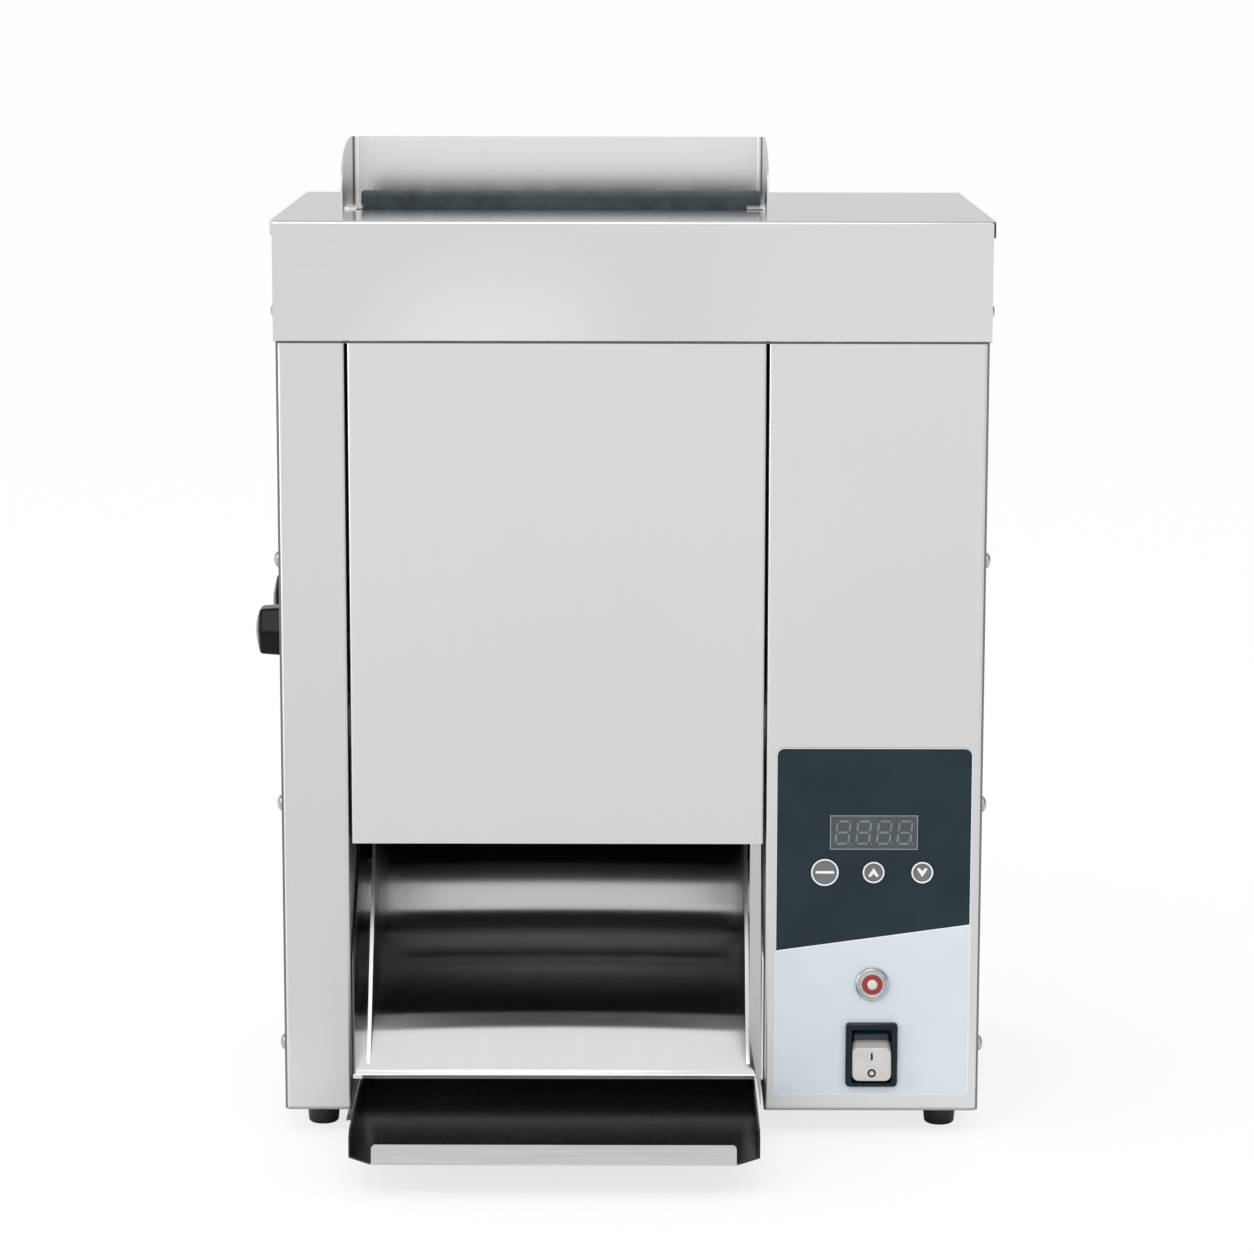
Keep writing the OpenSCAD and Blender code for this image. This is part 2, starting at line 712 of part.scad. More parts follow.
// Platen, its heaters and what carries it
module platen() color(dark_steel) in_frame() difference() {
    carry_x(chan_x - platen_w / 2, chan_x + platen_w / 2)
        polygon(bent([[platen_y, platen_z], [platen_y, platen_top], [platen_back, platen_top],
                      [platen_back, platen_z]], platen_r + move_clear));
    at_heaters(heater_d / 2 + run_clear, platen_w + 2);
    rod(chan_x + platen_w / 2 - probe_l, chan_x + platen_w / 2 + 1, platen_mid, probe_z, probe_d / 2 + run_clear);
}
platen_mid = platen_y + platen_t / 2;
function heater_z(i) = let (low = platen_z + heater_margin, high = platen_top - heater_margin)
    low + (high - low) * i / (heater_count - 1);
probe_z = (heater_z(0) + heater_z(1)) / 2;
module at_heaters(r, l) {
    for (i = [0:heater_count - 1]) rod(chan_x - l / 2, chan_x + l / 2, platen_mid, heater_z(i), r);
}
module cartridge_heaters() color(zinc) in_frame() at_heaters(heater_d / 2, platen_w);
module temperature_probe() color(brass) in_frame() {
    end = chan_x + platen_w / 2;
    rod(end - probe_l, end, platen_mid, probe_z, probe_d / 2);
    rod(end, end + 3, platen_mid, probe_z, probe_d);
}
module platen_spacers() color("#E6E2D8") in_frame() {
    for (z = [heater_z(0) - 2 * heater_d, heater_z(heater_count - 1) + 2 * heater_d]) {
        rod(chan_left, chan_x - platen_w / 2, platen_mid, z, spacer_r);
        rod(chan_x + platen_w / 2, chan_right, platen_mid, z, spacer_r);
    }
}
module release_sheet() color(slate) in_frame()
    carry_x(chan_x - release_w / 2, chan_x + release_w / 2)
        folded([[platen_back + release_t, platen_z], [platen_back + release_t, platen_top + release_t],
                [platen_y - release_t, platen_top + release_t], [platen_y - release_t, platen_z]],
               release_t, platen_r);

// Conveyors
module loop(r) {
    for (z = [drive_z, idler_z]) translate([0, z]) circle(r);
    translate([-r, drive_z]) square([2 * r, idler_z - drive_z]);
}
module belt(y) translate([0, y, 0]) carry_x(chan_x - belt_w / 2, chan_x + belt_w / 2) {
    inner = roller_r + move_clear;
    ribs = floor((idler_z - drive_z) / rib_pitch);
    difference() {
        loop(belt_r);
        loop(inner);
    }
    for (side = [-1, 1], i = [0:ribs])
        translate([side * (belt_r + rib_h / 2), mid_z + (i - ribs / 2) * rib_pitch])
            square([rib_h + 0.4, rib_w], center = true);
}
module front_belt() color(silicone) in_frame() belt(front_axis_y);
module rear_belt() color(silicone) in_frame() belt(rear_axis_y);

module roller(y, z, end) {
    body = belt_w / 2 + 2;
    rod(chan_x - body, chan_x + body, y, z, roller_r);
    rod(chan_left - bush_l, end, y, z, shaft_r);
}
idler_end = chan_right + bush_l;
drive_end = gear_x + gear_w + gear_gap / 2;
module front_drive_roller() color(zinc) in_frame() roller(front_axis_y, drive_z, drive_end);
module front_idler_roller() color(zinc) in_frame() roller(front_axis_y, idler_z, idler_end);
module rear_drive_roller() color(zinc) in_frame() roller(rear_axis_y, drive_z, drive_end);
module rear_idler_roller() color(zinc) in_frame() roller(rear_axis_y, idler_z, idler_end);

// A flanged bush: its barrel from x0 to x1, its flange from f0 to f1
module bush(x0, x1, f0, f1, y, z, bore, r, flange_r) {
    difference() {
        union() {
            rod(x0, x1, y, z, r);
            rod(f0, f1, y, z, flange_r);
        }
        rod(x0 - bush_l, x1 + bush_l, y, z, bore);
    }
}
module wall_bushes(y, z, shaft, r, flange_r) {
    bush(chan_left - bush_l, chan_left, chan_left, chan_left + bush_flange_t, y, z, shaft + run_clear, r, flange_r);
    bush(chan_right, chan_right + bush_l, chan_right - bush_flange_t, chan_right, y, z, shaft + run_clear, r, flange_r);
}
module roller_bushes() color(brass) in_frame() {
    for (y = [front_axis_y, rear_axis_y], z = [drive_z, idler_z]) wall_bushes(y, z, shaft_r, bush_r, bush_flange_r);
}

// Compression: each knob's cams push a plate against the back of the belt's working run
module pressure_plate(axis_y, adjust_y, facing) {
    face = axis_y + facing * (roller_r + move_clear - press_gap);
    back = face - facing * press_t;
    ear_back = face - facing * ear_d;
    x0 = chan_x - ear_x;
    x1 = chan_x + ear_x;
    difference() {
        union() {
            carry_y(min(face, back), max(face, back)) {
                translate([chan_x, mid_z]) square([press_w, press_h], center = true);
                for (z = [adjust_z, guide_pin_z]) translate([chan_x, z]) square([2 * ear_x, ear_h], center = true);
            }
            for (x = [x0, x1 - press_t], z = [adjust_z, guide_pin_z])
                span([x, min(face, ear_back), z - ear_h / 2], [x + press_t, max(face, ear_back), z + ear_h / 2]);
        }
        carry_x(x0 - 1, x1 + 1) {
            window = [2 * (cam_r + move_clear), 2 * (cam_r + cam_e + move_clear)];
            translate([adjust_y, adjust_z]) square(window, center = true);
            translate([adjust_y, guide_pin_z]) {
                square([2 * (cam_swing + move_clear), 2 * (guide_pin_r + move_clear)], center = true);
                for (s = [-1, 1]) translate([s * (cam_swing + move_clear), 0]) circle(guide_pin_r + move_clear);
            }
        }
    }
}
module front_pressure_plate() color(dark_steel) in_frame() pressure_plate(front_axis_y, front_adjust_y, 1);
module rear_pressure_plate() color(dark_steel) in_frame() pressure_plate(rear_axis_y, rear_adjust_y, -1);
module guide_pins() color(zinc) in_frame() {
    for (y = [front_adjust_y, rear_adjust_y]) {
        rod(chan_left, chan_x - ear_x + press_t + 1, y, guide_pin_z, guide_pin_r);
        rod(chan_x + ear_x - press_t - 1, chan_right, y, guide_pin_z, guide_pin_r);
    }
}

module adjuster_shaft(y) {
    rod(-side_x - knob_h / 2, chan_right + bush_l, y, adjust_z, adjust_r);
    for (side = [-1, 1]) {
        x = chan_x + side * (ear_x - press_t / 2);
        rod(x - cam_w / 2, x + cam_w / 2, y, adjust_z + cam_e, cam_r);
    }
}
module front_adjuster_shaft() color(zinc) in_frame() adjuster_shaft(front_adjust_y);
module rear_adjuster_shaft() color(zinc) in_frame() adjuster_shaft(rear_adjust_y);
module adjuster_bushes() color(brass) in_frame() {
    for (y = [front_adjust_y, rear_adjust_y]) {
        wall_bushes(y, adjust_z, adjust_r, adjust_bush_r, adjust_bush_r + 2);
        bush(-side_x, bush_l - side_x, -inner_side, bush_flange_t - inner_side, y, adjust_z,
             adjust_r + run_clear, adjust_bush_r, adjust_bush_r + 2);
    }
}

// A round knob with six flats, tapered to a domed end
module knob(y, turn) {
    tip = knob_d / 2 - knob_taper;
    dome_r = (tip * tip + knob_dome * knob_dome) / (2 * knob_dome);
    seat = 0.6;
    translate([-side_x - seat, y, adjust_z]) rotate([0, -90, 0]) rotate(turn) difference() {
        intersection() {
            rotate_extrude() intersection() {
                polygon([[0, 0], [knob_d / 2, 0], [tip, knob_h - seat], [0, knob_h - seat]]);
                translate([0, knob_h - seat - dome_r]) circle(dome_r, $fn = 180);
            }
            linear_extrude(knob_h) circle(d = knob_flat / cos(30), $fn = 6);
        }
        translate([0, 0, -1]) cylinder(r = adjust_r + run_clear, h = knob_h / 2 - seat + 1);
    }
}
module front_knob() color(black) in_frame() knob(front_adjust_y, 30);
module rear_knob() color(black) in_frame() knob(rear_adjust_y, 0);

// Gears with involute flanks
function involute(r, base) = let (a = acos(min(1, base / r))) tan(a) * 180 / PI - a;
function half_tooth(r, pitch, n) = let (base = pitch * cos(pressure_angle))
    90 / n * (1 - gear_backlash) + involute(pitch, base) - involute(max(r, base), base);
function gear_points(n, pitch) =
    let (root = pitch - 1.25 * gear_module, tip = pitch + 0.95 * gear_module,
         base = pitch * cos(pressure_angle),
         radii = [root, for (i = [0:4]) max(base, root) + (tip - max(base, root)) * i / 4])
    [for (k = [0:n - 1]) each concat(
        [for (i = [0:5]) let (a = 360 * k / n - half_tooth(radii[i], pitch, n)) radii[i] * [cos(a), sin(a)]],
        [for (i = [5:-1:0]) let (a = 360 * k / n + half_tooth(radii[i], pitch, n)) radii[i] * [cos(a), sin(a)]]
    )];
module gear(y, z, n, pitch, turn, bore) translate([gear_x, y, z]) rotate([90, 0, 90]) linear_extrude(gear_w)
    difference() {
        rotate(turn) polygon(gear_points(n, pitch));
        circle(bore);
    }
half_pitch = 180 / gear_teeth;
function train_y(i) = front_axis_y + 2 * gear_r * i;
module front_drive_gear() color(zinc) in_frame() gear(train_y(0), drive_z, gear_teeth, gear_r, 0, shaft_r + run_clear);
module front_idler_gear() color(silver) in_frame()
    gear(train_y(1), drive_z, gear_teeth, gear_r, half_pitch, gear_pin_r + run_clear);
module rear_idler_gear() color(silver) in_frame()
    gear(train_y(2), drive_z, gear_teeth, gear_r, 0, gear_pin_r + run_clear);
module rear_drive_gear() color(zinc) in_frame() gear(train_y(3), drive_z, gear_teeth, gear_r, half_pitch, shaft_r + run_clear);
module idler_gear_pins() color(zinc) in_frame() {
    for (i = [1, 2]) {
        rod(chan_right + sheet, motor_x, train_y(i), drive_z, gear_pin_r);
        rod(chan_right + sheet, gear_x - move_clear, train_y(i), drive_z, gear_pin_r + 3);
        rod(gear_x + gear_w + move_clear, motor_x + 1, train_y(i), drive_z, gear_pin_r + 2);
    }
}
module motor_pinion() color(brass) in_frame() {
    gear(front_axis_y, pinion_z, pinion_teeth, pinion_r, 0, motor_shaft_r);
    rod(gear_x, motor_x + bracket_t + gearbox_l / 2, front_axis_y, pinion_z, motor_shaft_r);
}
bracket_t = 2;
bracket_post_r = 4;
bracket_posts = [[-1, -1], [1, -1], [-1, 0.75]];
function bracket_place(p) = [front_axis_y + p[0] * gearbox_w * 0.7, pinion_z + p[1] * gearbox_w * 0.7];
module motor_bracket() color(zinc) in_frame() {
    reach = bracket_post_r + 4;
    span_w = gearbox_w * 0.7 + reach;
    difference() {
        carry_x(motor_x, motor_x + bracket_t) translate([front_axis_y, pinion_z])
            polygon([[-span_w, -span_w], [span_w, -span_w], [span_w, -span_w * 0.4], [0, span_w * 0.75],
                     [-span_w, span_w * 0.75]]);
        rod(motor_x - 1, motor_x + bracket_t + 1, front_axis_y, pinion_z, motor_shaft_r + 4);
        rod(motor_x - 1, motor_x + bracket_t + 1, front_axis_y, drive_z, shaft_r + 3);
    }
    for (p = bracket_posts) {
        at = bracket_place(p);
        rod(chan_right + sheet, motor_x, at[0], at[1], bracket_post_r);
    }
}
module gear_motor() color(dark_steel) in_frame() {
    x0 = motor_x + bracket_t;
    difference() {
        union() {
            carry_x(x0, x0 + gearbox_l) translate([front_axis_y, pinion_z - gearbox_w / 4])
                round_rect(gearbox_w, gearbox_w, 6);
            rod(x0 + gearbox_l, x0 + gearbox_l + motor_l, front_axis_y, pinion_z - gearbox_w / 4, motor_r);
            rod(x0 + gearbox_l + motor_l, x0 + gearbox_l + motor_l + 6, front_axis_y, pinion_z - gearbox_w / 4, 8);
        }
        rod(x0 - 1, x0 + gearbox_l / 2 + move_clear, front_axis_y, pinion_z, motor_shaft_r + run_clear);
    }
}

// Chute
function chute_z(y, r) = chute_cz + sqrt(r * r - pow(y - chute_cy, 2));
guide_nose = [lip_back + guide_back, lip_z];
guide_brow = guide_nose + [guide_run, guide_rise];
guide_end = [chute_top_y, chute_z(chute_top_y, chute_r) + guide_h];
module above_chute() difference() {
    children();
    translate([chute_cy, chute_cz]) circle(chute_r + run_clear, $fn = 1440);
}
module chute_band(r0, r1) translate([chute_cy, chute_cz]) difference() {
    circle(r1, $fn = 1440);
    circle(r0, $fn = 1440);
}
module guide_plate() above_chute() polygon([guide_nose, guide_brow, guide_end, [chute_top_y, lip_z]]);
module guide_edge() above_chute() {
    edge = [guide_nose, guide_brow, guide_end - [guide_hem, 0]];
    polygon(concat(edge, [for (i = [2:-1:0]) edge[i] + [guide_hem, 0]]));
}
module chute() color(steel) in_frame() {
    reach = chute_r + 10;
    carry_x(chan_x - chute_w / 2, chan_x + chute_w / 2) {
        intersection() {
            chute_band(chute_r - sheet, chute_r);
            translate([chute_cy, chute_cz])
                polygon([[0, 0], reach * [-sin(lip_slope), cos(lip_slope)], reach * [-sin(top_slope), cos(top_slope)]]);
        }
        translate([lip_back, lip_z - lip_fold]) square([sheet, lip_fold]);
    }
    for (x = [chan_x - chute_w / 2, chan_x + chute_w / 2 - sheet])
        carry_x(x, x + sheet) intersection() {
            chute_band(chute_r - sheet / 2, chute_r + cheek_h);
            translate([lip_back, lip_z]) square([cheek_run, chute_run]);
        }
}
module chute_guides() color(steel) in_frame() {
    for (side = [-1, 1]) {
        x = chan_x + side * (guide_w + sheet) / 2;
        carry_x(x - sheet / 2, x + sheet / 2) guide_plate();
        carry_x(side > 0 ? x : x - 1.5 * sheet, side > 0 ? x + 1.5 * sheet : x) guide_edge();
    }
}
module chute_spacers() color(zinc) in_frame() {
    for (y = [chute_top_y - spacer_back - spacer_pitch, chute_top_y - spacer_back]) {
        z = chute_z(y, chute_r) + 0.4 * guide_h;
        rod(chan_left, chan_x - guide_w / 2 - sheet, y, z, spacer_r);
        rod(chan_x + guide_w / 2 + sheet, chan_right, y, z, spacer_r);
    }
}

// Landing tray, hung on pins in the channel walls
module tray() color(black) in_frame() {
    half = tray_w / 2;
    lip_w = tray_w - 2 * tray_chamfer;
    wall_y = tray_chamfer - tray_out;
    translate([chan_x, 0, tray_z]) linear_extrude(sheet)
        polygon([[-half, tray_in], [-half, wall_y], [-lip_w / 2, -tray_out], [lip_w / 2, -tray_out],
                 [half, wall_y], [half, tray_in]]);
    for (side = [-1, 1]) {
        x = chan_x + side * (half - sheet / 2);
        carry_x(x - sheet / 2, x + sheet / 2) difference() {
            polygon([[tray_in, tray_z], [tray_in, lip_under], [lip_back - 4, lip_under],
                     [lip_back - 8, tray_z + tray_wall_h], [wall_y + 6, tray_z + tray_wall_h],
                     [wall_y, tray_z + tray_wall_h - 5], [wall_y, tray_z]]);
            translate([tray_pin_y, tray_pin_z]) circle(tray_pin_r + move_clear);
            translate([tray_pin_y, tray_pin_z - tray_pin_r - move_clear])
                square([tray_in, 2 * (tray_pin_r + move_clear)]);
        }
    }
    carry_y(-tray_out, sheet - tray_out) translate([chan_x, tray_z]) {
        translate([-lip_w / 2, 0]) square([lip_w, tray_lip_h - tray_lip_r]);
        translate([tray_lip_r - lip_w / 2, 0]) square([lip_w - 2 * tray_lip_r, tray_lip_h]);
        for (side = [-1, 1])
            translate([side * (lip_w / 2 - tray_lip_r), tray_lip_h - tray_lip_r]) circle(tray_lip_r);
    }
}
module tray_pins() color(zinc) in_frame() {
    inner = tray_w / 2 - 2 * sheet;
    rod(chan_left, chan_x - inner, tray_pin_y, tray_pin_z, tray_pin_r);
    rod(chan_x + inner, chan_right, tray_pin_y, tray_pin_z, tray_pin_r);
}

// Controls
module control_overlay() color(slate) in_frame() difference() {
    carry_y(overlay_y, front_y) translate([panel_x, overlay_z]) round_rect(overlay_w, overlay_h, overlay_r);
    panel_cuts(overlay_y - 1, front_y + 1);
}
module display() color(black) in_frame() {
    carry_y(overlay_y, front_y + sheet) translate([panel_x, display_z]) square([display_w, display_h], center = true);
    carry_y(front_y + sheet, board_y) translate([panel_x, display_z])
        square([display_w + 4, display_h + 4], center = true);
}
module control_board() color(green) in_frame() {
    w = 3 * key_pitch;
    low = key_z - key_large_d;
    high = display_z + display_h;
    carry_y(board_y, board_y + board_t) translate([panel_x - w / 2, low]) square([w, high - low]);
    for (x = [-1, 1], z = [low + 5, high - 5])
        post(panel_x + x * (w / 2 - 5), z, front_y + sheet, board_y, 3);
}
module key(i) {
    r = key_d(i) / 2;
    collar = front_y + sheet + move_clear;
    dish = 0.4;
    difference() {
        union() {
            post(panel_x + i * key_pitch, key_z, overlay_y - 1, collar, r);
            post(panel_x + i * key_pitch, key_z, collar, collar + 1.2, r + 1.5);
            post(panel_x + i * key_pitch, key_z, collar, board_y - key_travel - move_clear, 3);
        }
        post(panel_x + i * key_pitch, key_z, overlay_y - 2, overlay_y - 1 + dish, r - 1.1);
    }
}
module left_key() color(dark_steel) in_frame() key(-1);
module up_key() color(dark_steel) in_frame() key(0);
module down_key() color(dark_steel) in_frame() key(1);

// A round indicator: stepped bezel on the panel, barrel and nut behind it
module about_y(x, z, y) translate([x, y, z]) rotate([90, 0, 0]) rotate_extrude() children();
module lamp_bezel() color(silver) in_frame() {
    r = lamp_d / 2;
    cup = lens_d / 2 - 1;
    about_y(panel_x, lamp_z, overlay_y) difference() {
        union() {
            polygon([[0, 0], [r, 0], [r, 1], [r - 1.6, 2.6], [r - 2.6, 2.6], [r - 3, 2], [0, 2]]);
            translate([0, -24]) square([lamp_barrel_r, 25]);
            translate([0, overlay_y - front_y - sheet - 4]) square([lamp_barrel_r + 3, 4]);
        }
        translate([0, -3]) square([cup, 10]);
    }
}
module lamp_lens() color(red) in_frame() {
    cup = lens_d / 2 - 1 - hole_clear;
    about_y(panel_x, lamp_z, overlay_y) {
        translate([0, -3]) square([cup, 4.6]);
        intersection() {
            square([cup, 4]);
            translate([0, 2.6 - 8]) circle(8);
        }
    }
}
module switch_body() color(black) in_frame() {
    difference() {
        union() {
            carry_y(overlay_y - switch_rim, overlay_y) translate([panel_x, switch_z]) round_rect(switch_w, switch_h, 2.2);
            carry_y(overlay_y, front_y + 25) translate([panel_x, switch_z])
                square([switch_back_w, switch_back_h], center = true);
        }
        carry_y(overlay_y - switch_rim - 1, front_y + well_d) translate([panel_x, switch_z]) round_rect(well_w, well_h, 0.8);
        rod(panel_x - well_w / 2 - rocker_pin_l, panel_x + well_w / 2 + rocker_pin_l, rocker_y, rocker_z,
            rocker_pin_r + run_clear);
    }
}
module rocker() color(silver) in_frame() {
    half = rocker_h / 2;
    intersection() {
        carry_x(panel_x - rocker_w / 2, panel_x + rocker_w / 2) translate([rocker_y, rocker_z])
            polygon(bent([[6, 0], [5, -half * 0.6], [-1, -half], [-8.6, -half + 0.6], [-6.2, half * 0.72],
                          [-1, half], [5, half * 0.6], [6, 0.1]], 1.2));
        carry_y(rocker_y - rocker_h, rocker_y + rocker_h) translate([panel_x, rocker_z])
            round_rect(rocker_w, rocker_h, rocker_r);
    }
    pin = rocker_w / 2 + move_clear + rocker_pin_l - 0.1;
    rod(panel_x - pin, panel_x + pin, rocker_y, rocker_z, rocker_pin_r);
}

// Power parts in the housing
module relay() color(black) in_frame() {
    x0 = chan_right + sheet;
    carry_x(x0, x0 + relay_t) translate([wall_back - relay_back, base_z + relay_lift]) difference() {
        square([relay_l, relay_h], center = true);
        for (s = [-1, 1]) translate([0, s * relay_h / 2]) circle(3);
    }
}
module cable_gland() color(black) in_frame() difference() {
    union() {
        post(gland_x, gland_z, wall_back - 8, back_y, gland_r - 2);
        post(gland_x, gland_z, wall_back - 6, wall_back, gland_r);
        translate([gland_x, back_y, gland_z]) rotate([-90, 0, 0]) {
            cylinder(r = gland_r + 1, h = 5, $fn = 6);
            translate([0, 0, 5]) cylinder(r1 = gland_r, r2 = gland_r - 2, h = gland_l - 5);
        }
    }
    post(gland_x, gland_z, wall_back - 10, back_y + gland_l + 1, gland_bore_r);
}

left_base();
right_base();
left_column();
control_housing();
left_side_panel();
right_side_panel();
rear_panel();
hood();
front_cover();
cross_rails();
feet();
side_screws();
rear_screws();
bun_guard();
platen();
cartridge_heaters();
temperature_probe();
platen_spacers();
release_sheet();
front_belt();
rear_belt();
front_drive_roller();
front_idler_roller();
rear_drive_roller();
rear_idler_roller();
roller_bushes();
front_pressure_plate();
rear_pressure_plate();
guide_pins();
front_adjuster_shaft();
rear_adjuster_shaft();
adjuster_bushes();
front_knob();
rear_knob();
front_drive_gear();
front_idler_gear();
rear_idler_gear();
rear_drive_gear();
idler_gear_pins();
motor_pinion();
gear_motor();
motor_bracket();
chute();
chute_guides();
chute_spacers();
tray();
tray_pins();
control_overlay();
display();
control_board();
left_key();
up_key();
down_key();
lamp_bezel();
lamp_lens();
switch_body();
rocker();
relay();
cable_gland();
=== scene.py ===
"""Vertical bun toaster: the looks of its CAD frame, laid out as a Blender add-on and run as a script."""

import json

import bmesh
import bpy
import numpy as np
from bpy.props import FloatProperty, FloatVectorProperty, PointerProperty
from bpy.types import Operator, Panel, PropertyGroup
from mathutils import Matrix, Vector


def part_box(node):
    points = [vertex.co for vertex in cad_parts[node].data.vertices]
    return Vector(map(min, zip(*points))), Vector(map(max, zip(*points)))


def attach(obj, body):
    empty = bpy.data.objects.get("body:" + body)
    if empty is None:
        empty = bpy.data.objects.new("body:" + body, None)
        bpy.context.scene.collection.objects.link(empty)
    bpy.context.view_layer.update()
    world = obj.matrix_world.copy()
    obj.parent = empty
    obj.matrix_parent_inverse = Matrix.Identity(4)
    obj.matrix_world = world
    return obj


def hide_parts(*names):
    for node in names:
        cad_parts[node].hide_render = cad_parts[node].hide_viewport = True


bl_info = {
    "name": "Vertical bun toaster",
    "version": (1, 0, 0),
    "blender": (4, 5, 0),
    "location": "3D View > Sidebar > Toaster",
    "description": "Dresses the CAD frame of a vertical bun toaster with its finishes, prints and stage",
    "category": "Object",
}

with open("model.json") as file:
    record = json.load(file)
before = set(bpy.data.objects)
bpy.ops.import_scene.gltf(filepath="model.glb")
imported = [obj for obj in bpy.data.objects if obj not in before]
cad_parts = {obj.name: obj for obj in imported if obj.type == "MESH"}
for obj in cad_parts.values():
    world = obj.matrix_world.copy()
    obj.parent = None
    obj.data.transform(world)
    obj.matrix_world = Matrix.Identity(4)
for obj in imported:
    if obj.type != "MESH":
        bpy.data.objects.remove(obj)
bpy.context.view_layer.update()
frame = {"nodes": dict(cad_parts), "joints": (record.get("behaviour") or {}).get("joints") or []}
NODES = frame["nodes"]
MM = 0.001

# Thickness of the sheet steel
SHEET = 1.2 * MM

# Axes that a brushed grain may follow
ACROSS, DEEP, UPRIGHT = range(3)


def node_box(node):
    """Lowest and highest corner of a CAD node as arrays, in metres."""
    low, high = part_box(node)
    return np.array(low), np.array(high)


def node_middle(node):
    """Middle of a CAD node's box, in metres."""
    return sum(node_box(node)) / 2


# The body's own datum: the middle of the hood's front face, on the table
DATUM = np.array([node_middle("hood")[0], node_box("hood")[0][1], 0.0])


# Colour and nodes

# The middle part of a noise, over which a colour or a roughness runs
MIDDLE = {"From Min": 0.3, "From Max": 0.7}


def linear(code):
    """A hex sRGB colour as linear red, green, blue and alpha."""
    value = np.array([int(code[i:i + 2], 16) for i in (1, 3, 5)]) / 255
    return (*np.where(value <= 0.04045, value / 12.92, ((value + 0.055) / 1.055) ** 2.4), 1.0)


def put(tree, kind, inputs=None, **settings):
    """Adds a node, sets its settings, and links or fills its inputs by name or number."""
    node = tree.nodes.new(kind)
    for key, value in settings.items():
        setattr(node, key, value)
    for key, value in (inputs or {}).items():
        if isinstance(value, bpy.types.NodeSocket):
            tree.links.new(value, node.inputs[key])
        else:
            node.inputs[key].default_value = value
    return node


def speckle(tree, place, size, detail=2.0):
    """Noise whose blotches are about the given size in metres, from 0 to 1."""
    scale = [1 / s for s in size] if np.ndim(size) else [1 / size] * 3
    spot = put(tree, "ShaderNodeMapping", {"Vector": place, "Scale": scale}).outputs["Vector"]
    noise = put(tree, "ShaderNodeTexNoise", {"Vector": spot, "Scale": 1.0, "Detail": detail})
    return noise.outputs["Fac"]


def toned(tree, noise, first, second):
    """A colour that goes from the first to the second over the middle part of a noise."""
    share = put(tree, "ShaderNodeMapRange", {"Value": noise, **MIDDLE}).outputs["Result"]
    return put(tree, "ShaderNodeMix", {0: share, 6: first, 7: second}, data_type="RGBA").outputs[2]


def shaded(tree, place, colour, shades):
    """A colour that turns to another one at each shade; the shades are painted shade and painted highlight.

    A shade is a hex colour and one or more runs. A run is an axis and two places on it, in metres: the shade
    is absent at the first and full at the second.
    """
    for code, *runs in shades:
        axes, share = put(tree, "ShaderNodeSeparateXYZ", {0: place}).outputs, 1.0
        for axis, start, stop in runs:
            run = put(tree, "ShaderNodeMapRange", {"Value": axes[axis], "From Min": start, "From Max": stop})
            both = put(tree, "ShaderNodeMath", {0: share, 1: run.outputs["Result"]}, operation="MULTIPLY")
            share = both.outputs[0]
        mix = put(tree, "ShaderNodeMix", {0: share, 6: colour, 7: linear(code)}, data_type="RGBA")
        colour = mix.outputs[2]
    return colour


def begin(name, constants):
    """A new material: its tree, its Object coordinates and its shader with the constants set."""
    material = bpy.data.materials.new(name)
    material.use_nodes = True
    tree = material.node_tree
    tree.nodes.clear()
    shader = put(tree, "ShaderNodeBsdfPrincipled", constants)
    put(tree, "ShaderNodeOutputMaterial", {"Surface": shader.outputs["BSDF"]})
    place = put(tree, "ShaderNodeTexCoord").outputs["Object"]
    return material, tree, place, shader


def finish_shader(tree, shader, colour, rough=None, height=None, depth=0.0):
    """Links a colour, a roughness and a bump height of the given depth to the shader.

    The roughness is a noise and the two values between which it runs.
    """
    tree.links.new(colour, shader.inputs["Base Color"])
    if rough is not None:
        noise, low, high = rough
        span = put(tree, "ShaderNodeMapRange", {"Value": noise, "To Min": low, "To Max": high, **MIDDLE})
        tree.links.new(span.outputs["Result"], shader.inputs["Roughness"])
    if height is not None:
        bump = put(tree, "ShaderNodeBump", {"Height": height, "Strength": 1.0, "Distance": depth})
        tree.links.new(bump.outputs["Normal"], shader.inputs["Normal"])


def dress(material, *names):
    """Gives a material to every slot of the named CAD nodes."""
    for name in names:
        for slot in NODES[name].material_slots:
            slot.material = material


# Materials

def brushed_stainless(name, along, tones, rough, shades=()):
    """Stainless sheet brushed along one axis: fine parallel scratches that blur reflections, faintly clouded.

    Real scratches are near 0.05 mm wide; they are drawn ten times as wide, so that they show. The shades are
    painted shade: a darker band at a lower bend, at a cut edge, inside the front cover and on a plate's face.
    """
    material, tree, place, shader = begin(name, {"Metallic": 1.0})
    size = [0.5 * MM] * 3
    size[along] = 70 * MM
    scratch = speckle(tree, place, size, 3.0)
    cloud = speckle(tree, place, 120 * MM)
    part = put(tree, "ShaderNodeMath", {0: scratch, 1: 0.6}, operation="MULTIPLY").outputs[0]
    tone = put(tree, "ShaderNodeMath", {0: cloud, 1: 0.4, 2: part}, operation="MULTIPLY_ADD").outputs[0]
    colour = shaded(tree, place, toned(tree, tone, *map(linear, tones)), shades)
    finish_shader(tree, shader, colour, (scratch, *rough), scratch, 0.0015 * MM)
    return material


